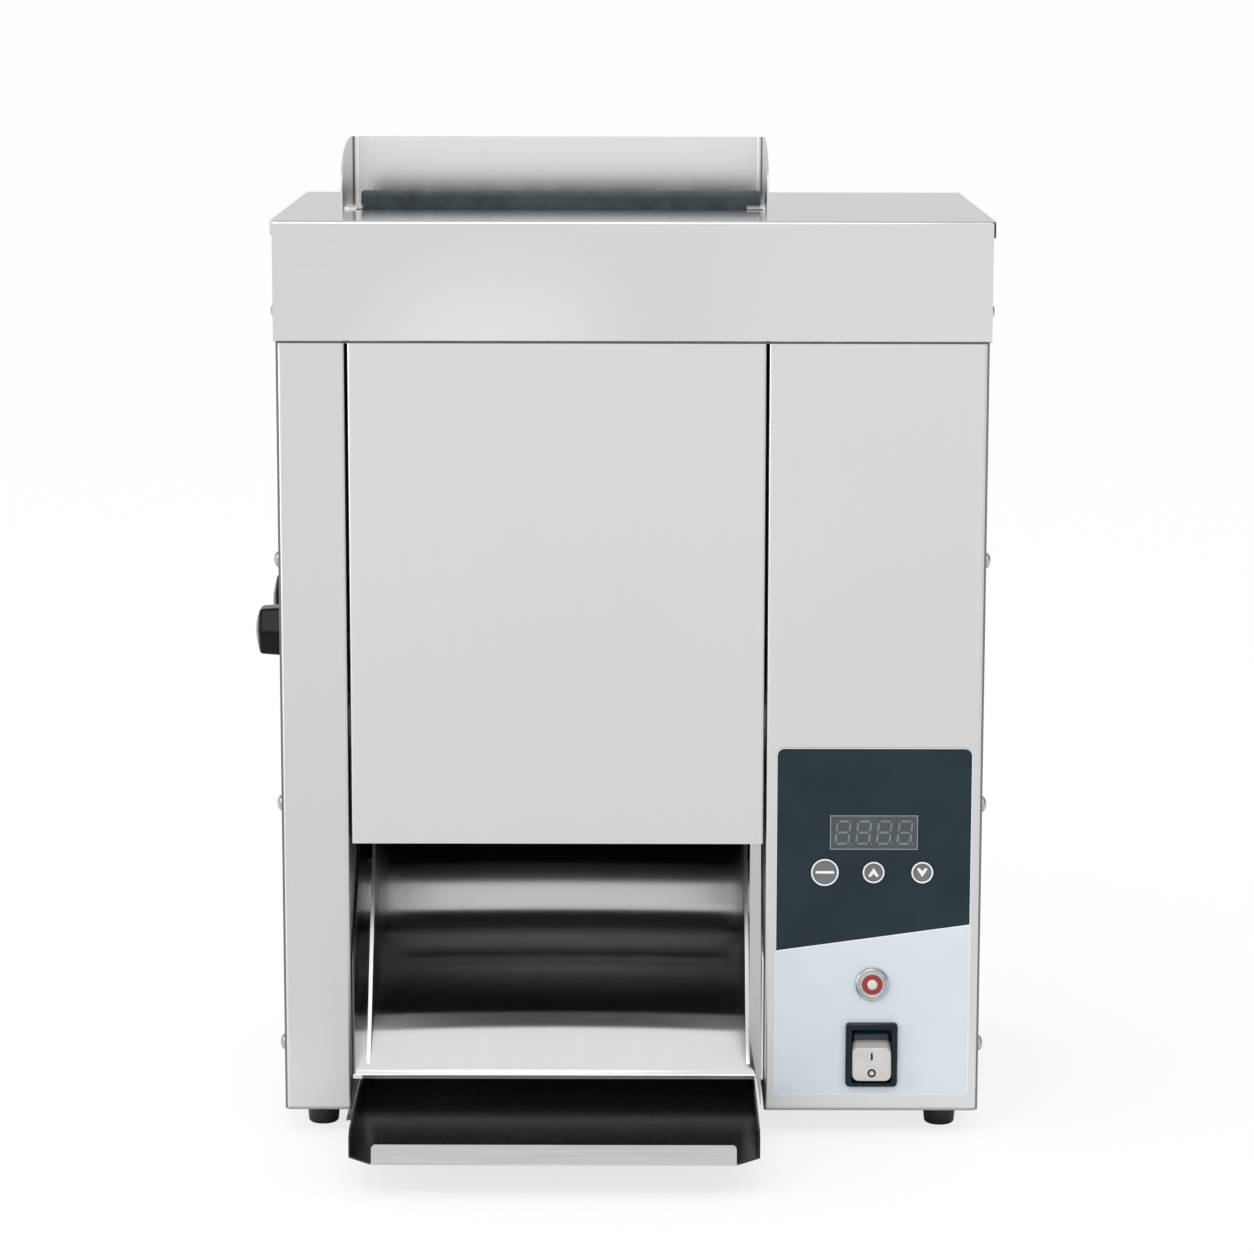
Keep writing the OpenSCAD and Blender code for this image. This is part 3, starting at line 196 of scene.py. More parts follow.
def rolled_bright(name, tones, rough, smear=0.0, shades=()):
    """Bright cold-rolled stainless sheet: almost a mirror, with wide faint bands along the rolling direction.

    Its roll marks smear reflections along the u direction of the piece's UV map, where smear is above zero.
    The shades are painted shade and painted highlight, such as the lines at a fold.
    """
    material, tree, place, shader = begin(name, {"Metallic": 1.0, "Anisotropic": smear})
    if smear:
        along = put(tree, "ShaderNodeTangent", direction_type="UV_MAP").outputs["Tangent"]
        tree.links.new(along, shader.inputs["Tangent"])
    band = speckle(tree, place, [9 * MM, 400 * MM, 400 * MM])
    colour = shaded(tree, place, toned(tree, band, *map(linear, tones)), shades)
    finish_shader(tree, shader, colour, (band, *rough))
    return material


def zinc_plate(name, tones):
    """Zinc-plated steel: grey with soft bluish clouding from the passivation, fairly dull."""
    material, tree, place, shader = begin(name, {"Metallic": 1.0})
    cloud = speckle(tree, place, 6 * MM, 4.0)
    finish_shader(tree, shader, toned(tree, cloud, *map(linear, tones)), (cloud, 0.26, 0.42))
    return material


def chrome_plate(name, tones):
    """Chrome plate on brass: a bright mirror with a slight haze."""
    material, tree, place, shader = begin(name, {"Metallic": 1.0})
    haze = speckle(tree, place, 3 * MM)
    finish_shader(tree, shader, toned(tree, haze, *map(linear, tones)), (haze, 0.06, 0.12))
    return material


def cast_metal(name, tones, rough):
    """Machined or cast metal: small-grained colour and gloss variation."""
    material, tree, place, shader = begin(name, {"Metallic": 1.0})
    grain = speckle(tree, place, 1.2 * MM, 4.0)
    finish_shader(tree, shader, toned(tree, grain, *map(linear, tones)), (grain, *rough), grain, 0.02 * MM)
    return material


def moulded(name, tones, rough, grain=0.7 * MM, depth=0.02 * MM, constants=None, shades=()):
    """Moulded plastic or rubber: a spark-eroded skin of small dimples and slight tone variation.

    The shades are painted shade, as on the release sheet, and painted highlight, as on the front belt.
    """
    material, tree, place, shader = begin(name, {"IOR": 1.5, **(constants or {})})
    skin = speckle(tree, place, grain, 3.0)
    mottle_and_highlight = speckle(tree, place, 14 * MM)
    colour = shaded(tree, place, toned(tree, mottle_and_highlight, *map(linear, tones)), shades)
    finish_shader(tree, shader, colour, (skin, *rough), skin, depth)
    return material


def nonstick_tray(edge):
    """Steel tray with a sprayed black non-stick coat inside; the outer face of its front lip is left bare.

    The coat has a fine orange peel. The bare steel is in front of the edge, a depth in metres.
    """
    material, tree, place, shader = begin("Nonstick_coat_sprayed_on_steel", {"IOR": 1.45})
    axes = put(tree, "ShaderNodeSeparateXYZ", {0: place}).outputs
    bare = put(tree, "ShaderNodeMath", {0: axes["Y"], 1: edge}, operation="LESS_THAN").outputs[0]
    peel = speckle(tree, place, 1.1 * MM, 3.0)
    scratch = speckle(tree, place, [60 * MM, 0.6 * MM, 0.6 * MM], 3.0)
    coat = toned(tree, peel, linear("#0A0A0B"), linear("#101113"))
    steel = toned(tree, scratch, linear("#C2C2C0"), linear("#D2D2D0"))
    colour = put(tree, "ShaderNodeMix", {0: bare, 6: coat, 7: steel}, data_type="RGBA").outputs[2]
    span = put(tree, "ShaderNodeMapRange", {"Value": peel, "To Min": 0.20, "To Max": 0.28, **MIDDLE})
    gloss = put(tree, "ShaderNodeMix", {0: bare, 2: span.outputs["Result"], 3: 0.36}).outputs[0]
    tree.links.new(gloss, shader.inputs["Roughness"])
    tree.links.new(bare, shader.inputs["Metallic"])
    finish_shader(tree, shader, colour, None, peel, 0.012 * MM)
    return material


def overlay_film(node, looks):
    """Printed polyester film with a satin hard coat: slate above a slanted line, pale grey below it.

    The line rises evenly from the left edge to the right one.
    """
    material, tree, place, shader = begin("Polyester_film_printed", {"IOR": 1.5, "Specular IOR Level": 0.2})
    low, high = node_box(node)
    left, right = looks.print_left * MM, looks.print_right * MM
    rise = (right - left) / (high[0] - low[0])
    axes = put(tree, "ShaderNodeSeparateXYZ", {0: place}).outputs
    slant = {0: axes["X"], 1: rise, 2: left - rise * low[0]}
    line = put(tree, "ShaderNodeMath", slant, operation="MULTIPLY_ADD").outputs[0]
    above = put(tree, "ShaderNodeMath", {0: axes["Z"], 1: line}, operation="GREATER_THAN").outputs[0]
    mottle = speckle(tree, place, 30 * MM)
    skin = speckle(tree, place, 0.5 * MM)
    slate = toned(tree, mottle, looks.slate, linear("#202E37"))
    pale = toned(tree, mottle, looks.pale, linear("#D2D9DF"))
    colour = put(tree, "ShaderNodeMix", {0: above, 6: pale, 7: slate}, data_type="RGBA").outputs[2]
    finish_shader(tree, shader, colour, (skin, 0.30, 0.38), skin, 0.003 * MM)
    return material


def lamp_red(middle):
    """Clear red acrylic: deep red at the rim, whitish in the middle, which is a painted reflection."""
    material, tree, place, shader = begin("Acrylic_moulded_red",
                                          {"IOR": 1.49, "Roughness": 0.12, "Coat Weight": 0.6})
    away = put(tree, "ShaderNodeVectorMath", {0: place, 1: middle}, operation="DISTANCE").outputs["Value"]
    ring = put(tree, "ShaderNodeMapRange", {"Value": away, "From Min": 2.9 * MM, "From Max": 3.6 * MM},
               interpolation_type="SMOOTHSTEP").outputs["Result"]
    fleck = speckle(tree, place, 0.8 * MM)
    # Painted reflection: the whitish middle of the lens
    painted_glint = toned(tree, fleck, linear("#C9C2BF"), linear("#E3DEDA"))
    red = toned(tree, fleck, linear("#82141A"), linear("#9C1F25"))
    colour = put(tree, "ShaderNodeMix", {0: ring, 6: painted_glint, 7: red}, data_type="RGBA").outputs[2]
    finish_shader(tree, shader, colour)
    return material


# Shapes

def add_piece(name, points, faces, material, body, slot, sharp=0.6):
    """Makes a closed mesh from points and faces and lets it ride a body.

    Its seams are merged, its faces turned outwards, and edges above the sharp angle, in radians, kept crisp.
    """
    mesh = bpy.data.meshes.new(name)
    mesh.from_pydata(points.tolist(), [], [list(face) for face in faces])
    shape = bmesh.new()
    shape.from_mesh(mesh)
    bmesh.ops.remove_doubles(shape, verts=shape.verts, dist=1e-7)
    bmesh.ops.recalc_face_normals(shape, faces=shape.faces)
    shape.to_mesh(mesh)
    shape.free()
    mesh.polygons.foreach_set("use_smooth", np.ones(len(mesh.polygons), dtype=bool))
    mesh.set_sharp_from_angle(angle=sharp)
    mesh.materials.append(material)
    piece = bpy.data.objects.new(name, mesh)
    bpy.context.scene.collection.objects.link(piece)
    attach(piece, body)
    return piece


def grid_faces(rows, columns, ring):
    """Four-sided faces of a grid of points, closed round its columns where ring is true."""
    index = np.arange(rows * columns).reshape(rows, columns)
    if ring:
        index = np.hstack([index, index[:, :1]])
    corners = [index[:-1, :-1], index[1:, :-1], index[1:, 1:], index[:-1, 1:]]
    return np.stack(corners, axis=-1).reshape(-1, 4)


def capped(loops, count):
    """Faces over loops of equal count, with a face over the first loop and one over the last."""
    return list(grid_faces(loops, count, True)) + [np.arange(count), np.arange(count) + (loops - 1) * count]


def at_depth(outline, y):
    """The points of an outline in (x, z), at one depth or at a depth for each."""
    return np.column_stack([outline[:, 0], np.broadcast_to(y, len(outline)), outline[:, 1]])


def prism(outline, y0, y1):
    """An outline in (x, z) carried straight along Y from y0 to y1, with both ends closed."""
    return np.vstack([at_depth(outline, y0), at_depth(outline, y1)]), capped(2, len(outline))


def side_prism(outline, x0, x1):
    """An outline in (y, z) carried straight along X from x0 to x1, with both ends closed."""
    points, faces = prism(outline, x0, x1)
    return points[:, [1, 0, 2]], faces


def rounded(x0, x1, z0, z1, radius, steps=7):
    """The outline of a rectangle in (x, z) with round corners: four quarter circles one after another."""
    centres = [(x1 - radius, z1 - radius), (x0 + radius, z1 - radius), (x0 + radius, z0 + radius),
               (x1 - radius, z0 + radius)]
    return np.vstack([arc(centre, radius, i * np.pi / 2, (i + 1) * np.pi / 2, steps)
                      for i, centre in enumerate(centres)])


def loft(loops):
    """A skin over outlines of equal length in (x, z), with a face over the first and one over the last.

    Each loop is an outline and two numbers: y is the first number plus the second times z.
    """
    points = [at_depth(line, y + slope * line[:, 1]) for line, y, slope in loops]
    return np.vstack(points), capped(len(loops), len(loops[0][0]))


def frame_bar(outer, inner, y0, y1):
    """A flat frame between two outlines of equal length in (x, z): four loops carried round its section."""
    section = (outer, y0), (outer, y1), (inner, y1), (inner, y0), (outer, y0)
    return np.vstack([at_depth(*loop) for loop in section]), grid_faces(len(section), len(outer), True)


def turned(profile, steps=72):
    """A profile of (radius, height) turned about Y.

    x is radius by cosine, z is radius by sine, and y is minus height.
    """
    angle = np.linspace(0, 2 * np.pi, steps, endpoint=False)
    radius, height = profile[:, :1], profile[:, 1:]
    points = np.stack([radius * np.cos(angle), -height + 0 * angle, radius * np.sin(angle)], axis=-1)
    return points.reshape(-1, 3), grid_faces(len(profile), steps, True)


def ring_profile(inner, outer, height):
    """A closed section of a flat ring, as (radius, height)."""
    return np.array([[inner, 0], [outer, 0], [outer, height], [inner, height], [inner, 0]])


def joined(*shapes):
    """Several shapes as one list of points and faces."""
    points, faces, count = [], [], 0
    for at, corners in shapes:
        points.append(at)
        faces += [np.asarray(corner) + count for corner in corners]
        count += len(at)
    return np.vstack(points), faces


def round_bar(length, width):
    """The outline of a bar with round ends, its middle at the origin: two half circles and straight sides."""
    end = arc((0, 0), width / 2, -np.pi / 2, np.pi / 2, 12)
    reach = np.array([(length - width) / 2, 0])
    return np.vstack([end + reach, -end - reach])


def arc(middle, radius, start, stop, steps):
    """Points on a circle between two angles, in radians."""
    angle = np.linspace(start, stop, steps)
    return np.asarray(middle) + radius * np.column_stack([np.cos(angle), np.sin(angle)])


# Settings

class ToasterLooks(PropertyGroup):
    """Colours and print that a user may change."""
    slate: FloatVectorProperty(
        name="Slate print", description="Upper field of the control film", subtype="COLOR", size=4,
        default=linear("#1C2A32"), min=0, max=1)
    pale: FloatVectorProperty(
        name="Pale print", description="Lower field of the control film", subtype="COLOR", size=4,
        default=linear("#CFD6DC"), min=0, max=1)
    print_left: FloatProperty(
        name="Print line left", description="Height of the slanted line's left end, in millimetres",
        default=120.0, min=80, max=200)
    print_right: FloatProperty(
        name="Print line right", description="Height of the slanted line's right end, in millimetres",
        default=137.0, min=80, max=200)


class ToasterSizes(PropertyGroup):
    """Sizes of the pieces that are added to the frame."""
    digit_height: FloatProperty(
        name="Digit height", description="Height of a display digit", default=14.2 * MM, min=0.005, max=0.02,
        unit="LENGTH")
    digit_pitch: FloatProperty(
        name="Digit spacing", description="Distance from one digit to the next", default=12.9 * MM,
        min=0.008, max=0.02, unit="LENGTH")
    chute_lip_slope: FloatProperty(
        name="Chute lip slope", description="Slope at the lip", default=np.radians(44.6), subtype="ANGLE")
    chute_top_slope: FloatProperty(
        name="Chute top slope", description="Slope at the top", default=np.radians(31.7), subtype="ANGLE")
    chute_run: FloatProperty(
        name="Chute run", description="Depth from lip to top edge", default=194 * MM, unit="LENGTH")


# Operators

class TOASTER_OT_panels(Operator):
    """Dress the sheet panels, the hood, the guard, the tray and the fasteners"""
    bl_idname = "toaster.panels"
    bl_label = "Dress the panels"

    def execute(self, context):
        self.body()
        self.guard()
        self.guides()
        dress(zinc_plate("Steel_zinc_plated", ("#A9ADAF", "#C4C7C8")), "side_screws", "rear_screws",
              "cross_rails", "guide_pins", "front_pressure_plate", "rear_pressure_plate", "tray_pins",
              "motor_bracket")
        dress(cast_metal("Steel_black_zinc_plated", ("#1A1A1A", "#242424"), (0.45, 0.60)), "chute_spacers")
        dress(moulded("Rubber_moulded_black", ("#0B0C0E", "#111316"), (0.34, 0.46)), "feet")
        dress(nonstick_tray(node_box("tray")[0][1] + 0.4 * MM), "tray")
        self.hem_end_shade_block()
        self.gap_shade_strip()
        return {"FINISHED"}

    @staticmethod
    def body():
        """Brushed sheets with painted shade at lower bends, the sides' cut edges and inside the front cover.
        """
        foot, edge = node_box("left_column")[0][2], node_box("left_side_panel")[0][1]
        fold = node_box("front_cover")[0]
        # Painted shade: a darker band along the lower bend of the housing and the column
        lower = ("#8E8E8E", ("Z", foot + 2.4 * MM, foot + 0.2 * MM))
        # Painted shade along the side panels' cut front edges
        cut = ("#7E7E7E", ("Y", edge + 0.4 * MM, edge + 0.3 * MM))
        # Painted shade inside the front cover, above its lower fold
        inside_shade = ("#4A4846", ("Y", fold[1] + 1.1 * MM, fold[1] + 1.2 * MM),
                   ("Z", fold[2] + 4.0 * MM, fold[2] + 4.5 * MM))
        pale, satin = ("#D9D9D9", "#DDDDDD"), (0.30, 0.34)
        for finish, along, tones, rough, shades, *names in (
                ("housing", UPRIGHT, pale, satin, [lower], "control_housing"),
                ("column", UPRIGHT, ("#D4D4D4", "#D8D8D8"), satin, [lower], "left_column"),
                ("side", UPRIGHT, pale, satin, [cut], "left_side_panel", "right_side_panel"),
                ("cover", UPRIGHT, pale, satin, [inside_shade], "front_cover"),
                ("rear", UPRIGHT, pale, satin, [], "rear_panel"),
                ("across", ACROSS, ("#D2D2D2", "#D6D6D6"), (0.12, 0.16), [], "hood"),
                ("deep", DEEP, ("#CACACA", "#D2D2D2"), (0.22, 0.30), [], "left_base", "right_base")):
            dress(brushed_stainless("Stainless_steel_brushed_" + finish, along, tones, rough, shades), *names)

    @staticmethod
    def guard():
        """Satin sheet with a painted shadow line in the fold of each wing and a painted highlight line beside
        it.
        """
        left, right = (corner[0] for corner in node_box("bun_guard"))
        # Painted shadow (the dark line) and painted highlight (the white line) at each wing's fold
        dark, light, soft = ("#7A7A7A", 1.25 * MM, 2.3 * MM), ("#FFFFFF", 3.4 * MM, 4.7 * MM), 0.1 * MM
        lines = []
        for at, sign in ((left, 1), (right, -1)):
            for code, first, last in (dark, light):
                lines.append((code, ("X", at + sign * first, at + sign * (first + soft)),
                              ("X", at + sign * last, at + sign * (last - soft))))
        satin = rolled_bright("Stainless_steel_satin_guard", ("#E4E4E4", "#E7E7E7"), (0.26, 0.28),
                              shades=lines)
        dress(satin, "bun_guard")

    @staticmethod
    def guides():
        """Brushed plates whose faces towards the chute carry painted shade, so that their bright edges stand
        out.
        """
        left, right = (corner[0] for corner in node_box("chute_guides"))
        start, stop = 2.3 * MM, 2.38 * MM
        # Painted shade on the faces towards the chute, standing for the dark they mirror
        inner = ("#4A4A48", ("X", left + start, left + stop), ("X", right - start, right - stop))
        plate = brushed_stainless("Stainless_steel_brushed_guide", UPRIGHT, ("#D6D6D5", "#DEDEDD"),
                                  (0.32, 0.40), [inner])
        dress(plate, "chute_guides")

    @staticmethod
    def hem_end_shade_block():
        """A small rounded black block that closes the front end of the hood's right hem: painted shade."""
        edge, _, top = node_box("hood")[1]
        outline = rounded(edge - 2.6 * MM, edge, top - 10.2 * MM, top - 0.4 * MM, 0.8 * MM)
        points, faces = prism(outline, DATUM[1] + 0.3 * MM, DATUM[1] + 2.4 * MM)
        # Painted shade: the black block stands where the open end of the hem is dark
        black = moulded("Painted_shade_black_block", ("#101010", "#171717"), (0.40, 0.52))
        add_piece("hem_end_shade", points, faces, black, "frame", "black_plastic")

    @staticmethod
    def gap_shade_strip():
        """A thin grey strip, oval in section, closing the gap from the hood's band to the panels: painted
        shade.
        """
        low, high = node_box("hood")
        setback, deep, tall, end = 0.35 * MM, 0.35 * MM, 0.55 * MM, 2.8 * MM
        turn = np.linspace(0, 2 * np.pi, 16, endpoint=False)
        section = np.column_stack([node_box("front_cover")[0][1] - setback + deep * np.cos(turn),
                                   low[2] - setback + tall * np.sin(turn)])
        points, faces = side_prism(section, low[0] + end, high[0] - end)
        # Painted shade: a grey strip where the gap under the hood is in shadow
        grey = moulded("Painted_gap_shade_grey", ("#4E4F50", "#5A5B5C"), (0.70, 0.85))
        add_piece("hood_gap_shade", points, faces, grey, "frame", "foot_rubber")


class TOASTER_OT_works(Operator):
    """Dress the platen, the belts, the drive, the adjusters and the electrical parts"""
    bl_idname = "toaster.works"
    bl_label = "Dress the works"

    def execute(self, context):
        self.metals()
        self.belts()
        dress(moulded("Alumina_fired", ("#DAD5C8", "#E8E4DA"), (0.45, 0.60)), "platen_spacers")
        dress(moulded("Acetal_machined", ("#D8D3C4", "#E6E2D6"), (0.35, 0.48)), "front_idler_gear",
              "rear_idler_gear")
        dress(moulded("Polyamide_moulded_black", ("#161718", "#202122"), (0.40, 0.56)), "cable_gland",
              "relay")
        dress(moulded("Glass_laminate_coated", ("#174A2C", "#226239"), (0.25, 0.38)), "control_board")
        return {"FINISHED"}

    @staticmethod
    def metals():
        """Machined rollers, ground shafts and gears, sintered bushes, and the black platen."""
        dress(cast_metal("Aluminium_machined", ("#AFAFAE", "#C2C2C1"), (0.28, 0.42)), "front_drive_roller",
              "front_idler_roller", "rear_drive_roller", "rear_idler_roller", "gear_motor")
        dress(cast_metal("Steel_ground", ("#9C9E9F", "#B9BBBC"), (0.18, 0.30)), "front_adjuster_shaft",
              "rear_adjuster_shaft", "front_drive_gear", "rear_drive_gear", "idler_gear_pins",
              "cartridge_heaters")
        dress(cast_metal("Bronze_sintered", ("#8C6A35", "#AD8848"), (0.34, 0.50)), "roller_bushes",
              "adjuster_bushes", "motor_pinion", "temperature_probe")
        dress(moulded("Aluminium_hard_anodised", ("#040404", "#080808"), (0.50, 0.62), 1.2 * MM, 0.01 * MM,
                      {"Specular IOR Level": 0.04}), "platen")

    @staticmethod
    def belts():
        """The release sheet, painted shade below its slot; the belts, a painted highlight at the front turn.
        """
        top, (low, high) = node_box("release_sheet")[1][2], node_box("front_belt")
        foot, middle = low[2], (low[1] + high[1]) / 2
        # Painted shade: the release sheet turns black below the slot
        shade_below_slot = ("#080808", ("Z", top - 40 * MM, top - 80 * MM))
        # Painted highlight: the front belt's lower turn, at its front, is pale
        mottle_and_highlight = ("#D6DADE", ("Z", foot + 14 * MM, foot + 2 * MM), ("Y", middle + 7 * MM, middle - 3 * MM))
        dress(moulded("PTFE_coated_glass_sheet", ("#444A4E", "#535A5E"), (0.50, 0.64), 0.9 * MM, 0.03 * MM,
                      {"Specular IOR Level": 0.05}, [shade_below_slot]), "release_sheet")
        dress(moulded("Silicone_moulded_grey", ("#64686C", "#70747A"), (0.20, 0.28), 2 * MM, 0.01 * MM,
                      {"Specular IOR Level": 0.25}, [mottle_and_highlight]), "front_belt", "rear_belt")


class TOASTER_OT_chute(Operator):
    """Make the bright chute that bends down to its lip, its two upturned sides and the strip beside it"""
    bl_idname = "toaster.chute"
    bl_label = "Make the chute"

    def execute(self, context):
        sizes = context.scene.toaster_sizes
        low, high = node_box("chute")
        lip, top = sizes.chute_lip_slope, sizes.chute_top_slope
        radius = sizes.chute_run / (np.sin(lip) - np.sin(top))
        fold = 3 * MM
        lip_y, lip_z = low[1], low[2] + fold
        middle = (lip_y + radius * np.sin(lip), lip_z - radius * np.cos(lip))
        bright = rolled_bright("Stainless_steel_bright_rolled", ("#DCDBDA", "#DEDDDC"), (0.115, 0.125), 0.95)
        piece = add_piece("chute_sheet", *self.sheet(low, high, lip, top, radius, middle, lip_z), bright,
                          "frame", "panel_steel")
        self.lay_uv(piece.data)
        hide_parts("chute")
        self.sides(low, high, radius, middle)
        self.strip(low, high)
        return {"FINISHED"}

    @staticmethod
    def sheet(low, high, lip, top, radius, middle, lip_z):
        """An arc from the top edge to the lip, a small bend and an upright hem, carried along X.

        Across X the sheet rises, square to its mean slope, by one minus the square of the distance from its
        middle. The rise dies away towards the lip by an exponential.
        """
        lip_y, bend_r, drop = low[1], 1.1 * MM, 0.9 * MM
        crown, fade, lift, steps, columns = 1.3 * MM, 35 * MM, (-0.68, 0.73), 97, 49
        face = arc(middle, radius, top + np.pi / 2, lip + np.pi / 2, steps)
        back = arc(middle, radius - SHEET, lip + np.pi / 2 - 0.0016, top + np.pi / 2, steps)
        bend = arc((lip_y + bend_r, lip_z - drop), bend_r, np.radians(128), np.radians(180), 7)
        hem = np.array([[lip_y, low[2]], [lip_y + SHEET, low[2]], [lip_y + SHEET, lip_z - drop]])
        y, z = np.vstack([face[:-1], bend, hem, back]).T
        across = np.linspace(-1, 1, columns)[:, None]
        rise = crown * (1 - across ** 2) * (1 - np.exp(-(y - lip_y).clip(0) / fade))
        x = (low[0] + high[0]) / 2 + across * (high[0] - low[0]) / 2 + 0 * rise
        points = np.stack([x, y + lift[0] * rise, z + lift[1] * rise], axis=-1)
        return points.reshape(-1, 3), capped(columns, len(y))

    @staticmethod
    def lay_uv(mesh):
        """A UV map in metres: u is the place across the sheet, v the place along its depth."""
        at = np.empty(len(mesh.vertices) * 3)
        mesh.vertices.foreach_get("co", at)
        corner = np.empty(len(mesh.loops), dtype=np.int32)
        mesh.loops.foreach_get("vertex_index", corner)
        layer = mesh.uv_layers.new(name="sheet")
        layer.data.foreach_set("uv", at.reshape(-1, 3)[corner][:, :2].ravel())

    @staticmethod
    def sides(low, high, radius, middle):
        """Two plates between the sheet's arc and the same arc 54 mm further out, cut upright at both ends.

        The left one carries painted shade: its tones are darker than the right one's.
        """
        y = np.linspace(low[1], low[1] + 128 * MM, 49)
        lower, upper = (middle[1] + np.sqrt(r ** 2 - (y - middle[0]) ** 2)
                        for r in (radius, radius + 54 * MM))
        outline = np.vstack([np.column_stack([y, lower]), np.column_stack([y, upper])[::-1]])
        # Painted shade: the left cheek is a darker copy of the brushed steel
        painted_shade_finish = brushed_stainless("Stainless_steel_brushed_painted_shade", UPRIGHT, ("#606060", "#686868"),
                                   (0.16, 0.20))
        bright = rolled_bright("Stainless_steel_bright_cheek", ("#DCDBDA", "#DEDDDC"), (0.05, 0.07))
        for name, x, finish in (("chute_side_left", low[0], painted_shade_finish),
                                ("chute_side_right", high[0] - SHEET, bright)):
            add_piece(name, *side_prism(outline, x, x + SHEET), finish, "frame", "panel_steel")

    @staticmethod
    def strip(low, high):
        """An upright strip before the right end of the lip, its lower end cut aslant."""
        edge, wide, lean, gap, head = high[0] - SHEET, 7.9 * MM, 1.2 * MM, 0.4 * MM, 200 * MM
        outline = np.array([[edge - wide, low[2] + 32 * MM], [edge, low[2] - 18 * MM], [edge - lean, head],
                            [edge - wide, head]])
        brushed = brushed_stainless("Stainless_steel_brushed_strip", UPRIGHT, ("#C2C2C2", "#CACACA"),
                                    (0.26, 0.32))
        back = low[1] - gap
        add_piece("chute_strip", *prism(outline, back - SHEET, back), brushed, "frame", "panel_steel")


class TOASTER_OT_knobs(Operator):
    """Make the two adjuster knobs with rounded flats and a domed end"""
    bl_idname = "toaster.knobs"
    bl_label = "Make the knobs"

    def execute(self, context):
        black = moulded("Phenolic_moulded_black", ("#060708", "#0B0C0D"), (0.14, 0.20), 0.6 * MM, 0.004 * MM,
                        {"Specular IOR Level": 0.14})
        for name, body in (("front_knob", "front_adjuster"), ("rear_knob", "rear_adjuster")):
            low, high = node_box(name)
            middle, (length, wide, tall) = (low + high) / 2, high - low
            points, faces = self.surface(min(tall, wide) / 2, length, np.pi / 2 if tall < wide else 0.0)
            points = np.array([high[0], middle[1], middle[2]]) + points * [-1, 1, 1]
            piece = add_piece(name + "_grip", points, faces, black, body, "black_plastic", 0.5)
            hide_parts(name)
        return {"FINISHED"}

    @staticmethod
    def surface(flat, height, first):
        """Radius by angle is the flat's distance over a smooth maximum of cosines: six round-edged flats.

        Height by step goes up a tapering side, round a shoulder and over a shallow dome.
        """
        shoulder, dome, taper, crisp = 2.6 * MM, 2.4 * MM, 0.09, 26
        angle = np.linspace(0, 2 * np.pi, 145)[:-1]
        normals = first + np.arange(6)[:, None] * np.pi / 3
        lobes = flat / (np.clip(np.cos(angle - normals), 0, None) ** crisp).sum(axis=0) ** (1 / crisp)
        turn = np.linspace(0, np.pi / 2, 9)
        side = np.linspace(0, height - dome - shoulder, 6)
        side_scale = 1 - taper * side / height
        corner = side_scale[-1] - shoulder / flat * (1 - np.cos(turn[1:]))
        corner_h = side[-1] + shoulder * np.sin(turn[1:])
        rest = np.linspace(1, 0, 12)[1:]
        cap = corner[-1] * rest
        cap_h = corner_h[-1] + dome * (1 - rest ** 2)
        scale = np.concatenate([[0], side_scale, corner, cap])[:, None]
        up = np.concatenate([[0], side, corner_h, cap_h])[:, None]
        points = np.stack([up + 0 * angle, scale * lobes * np.cos(angle), scale * lobes * np.sin(angle)],
                          axis=-1)
        return points.reshape(-1, 3), grid_faces(len(scale), len(angle), True)


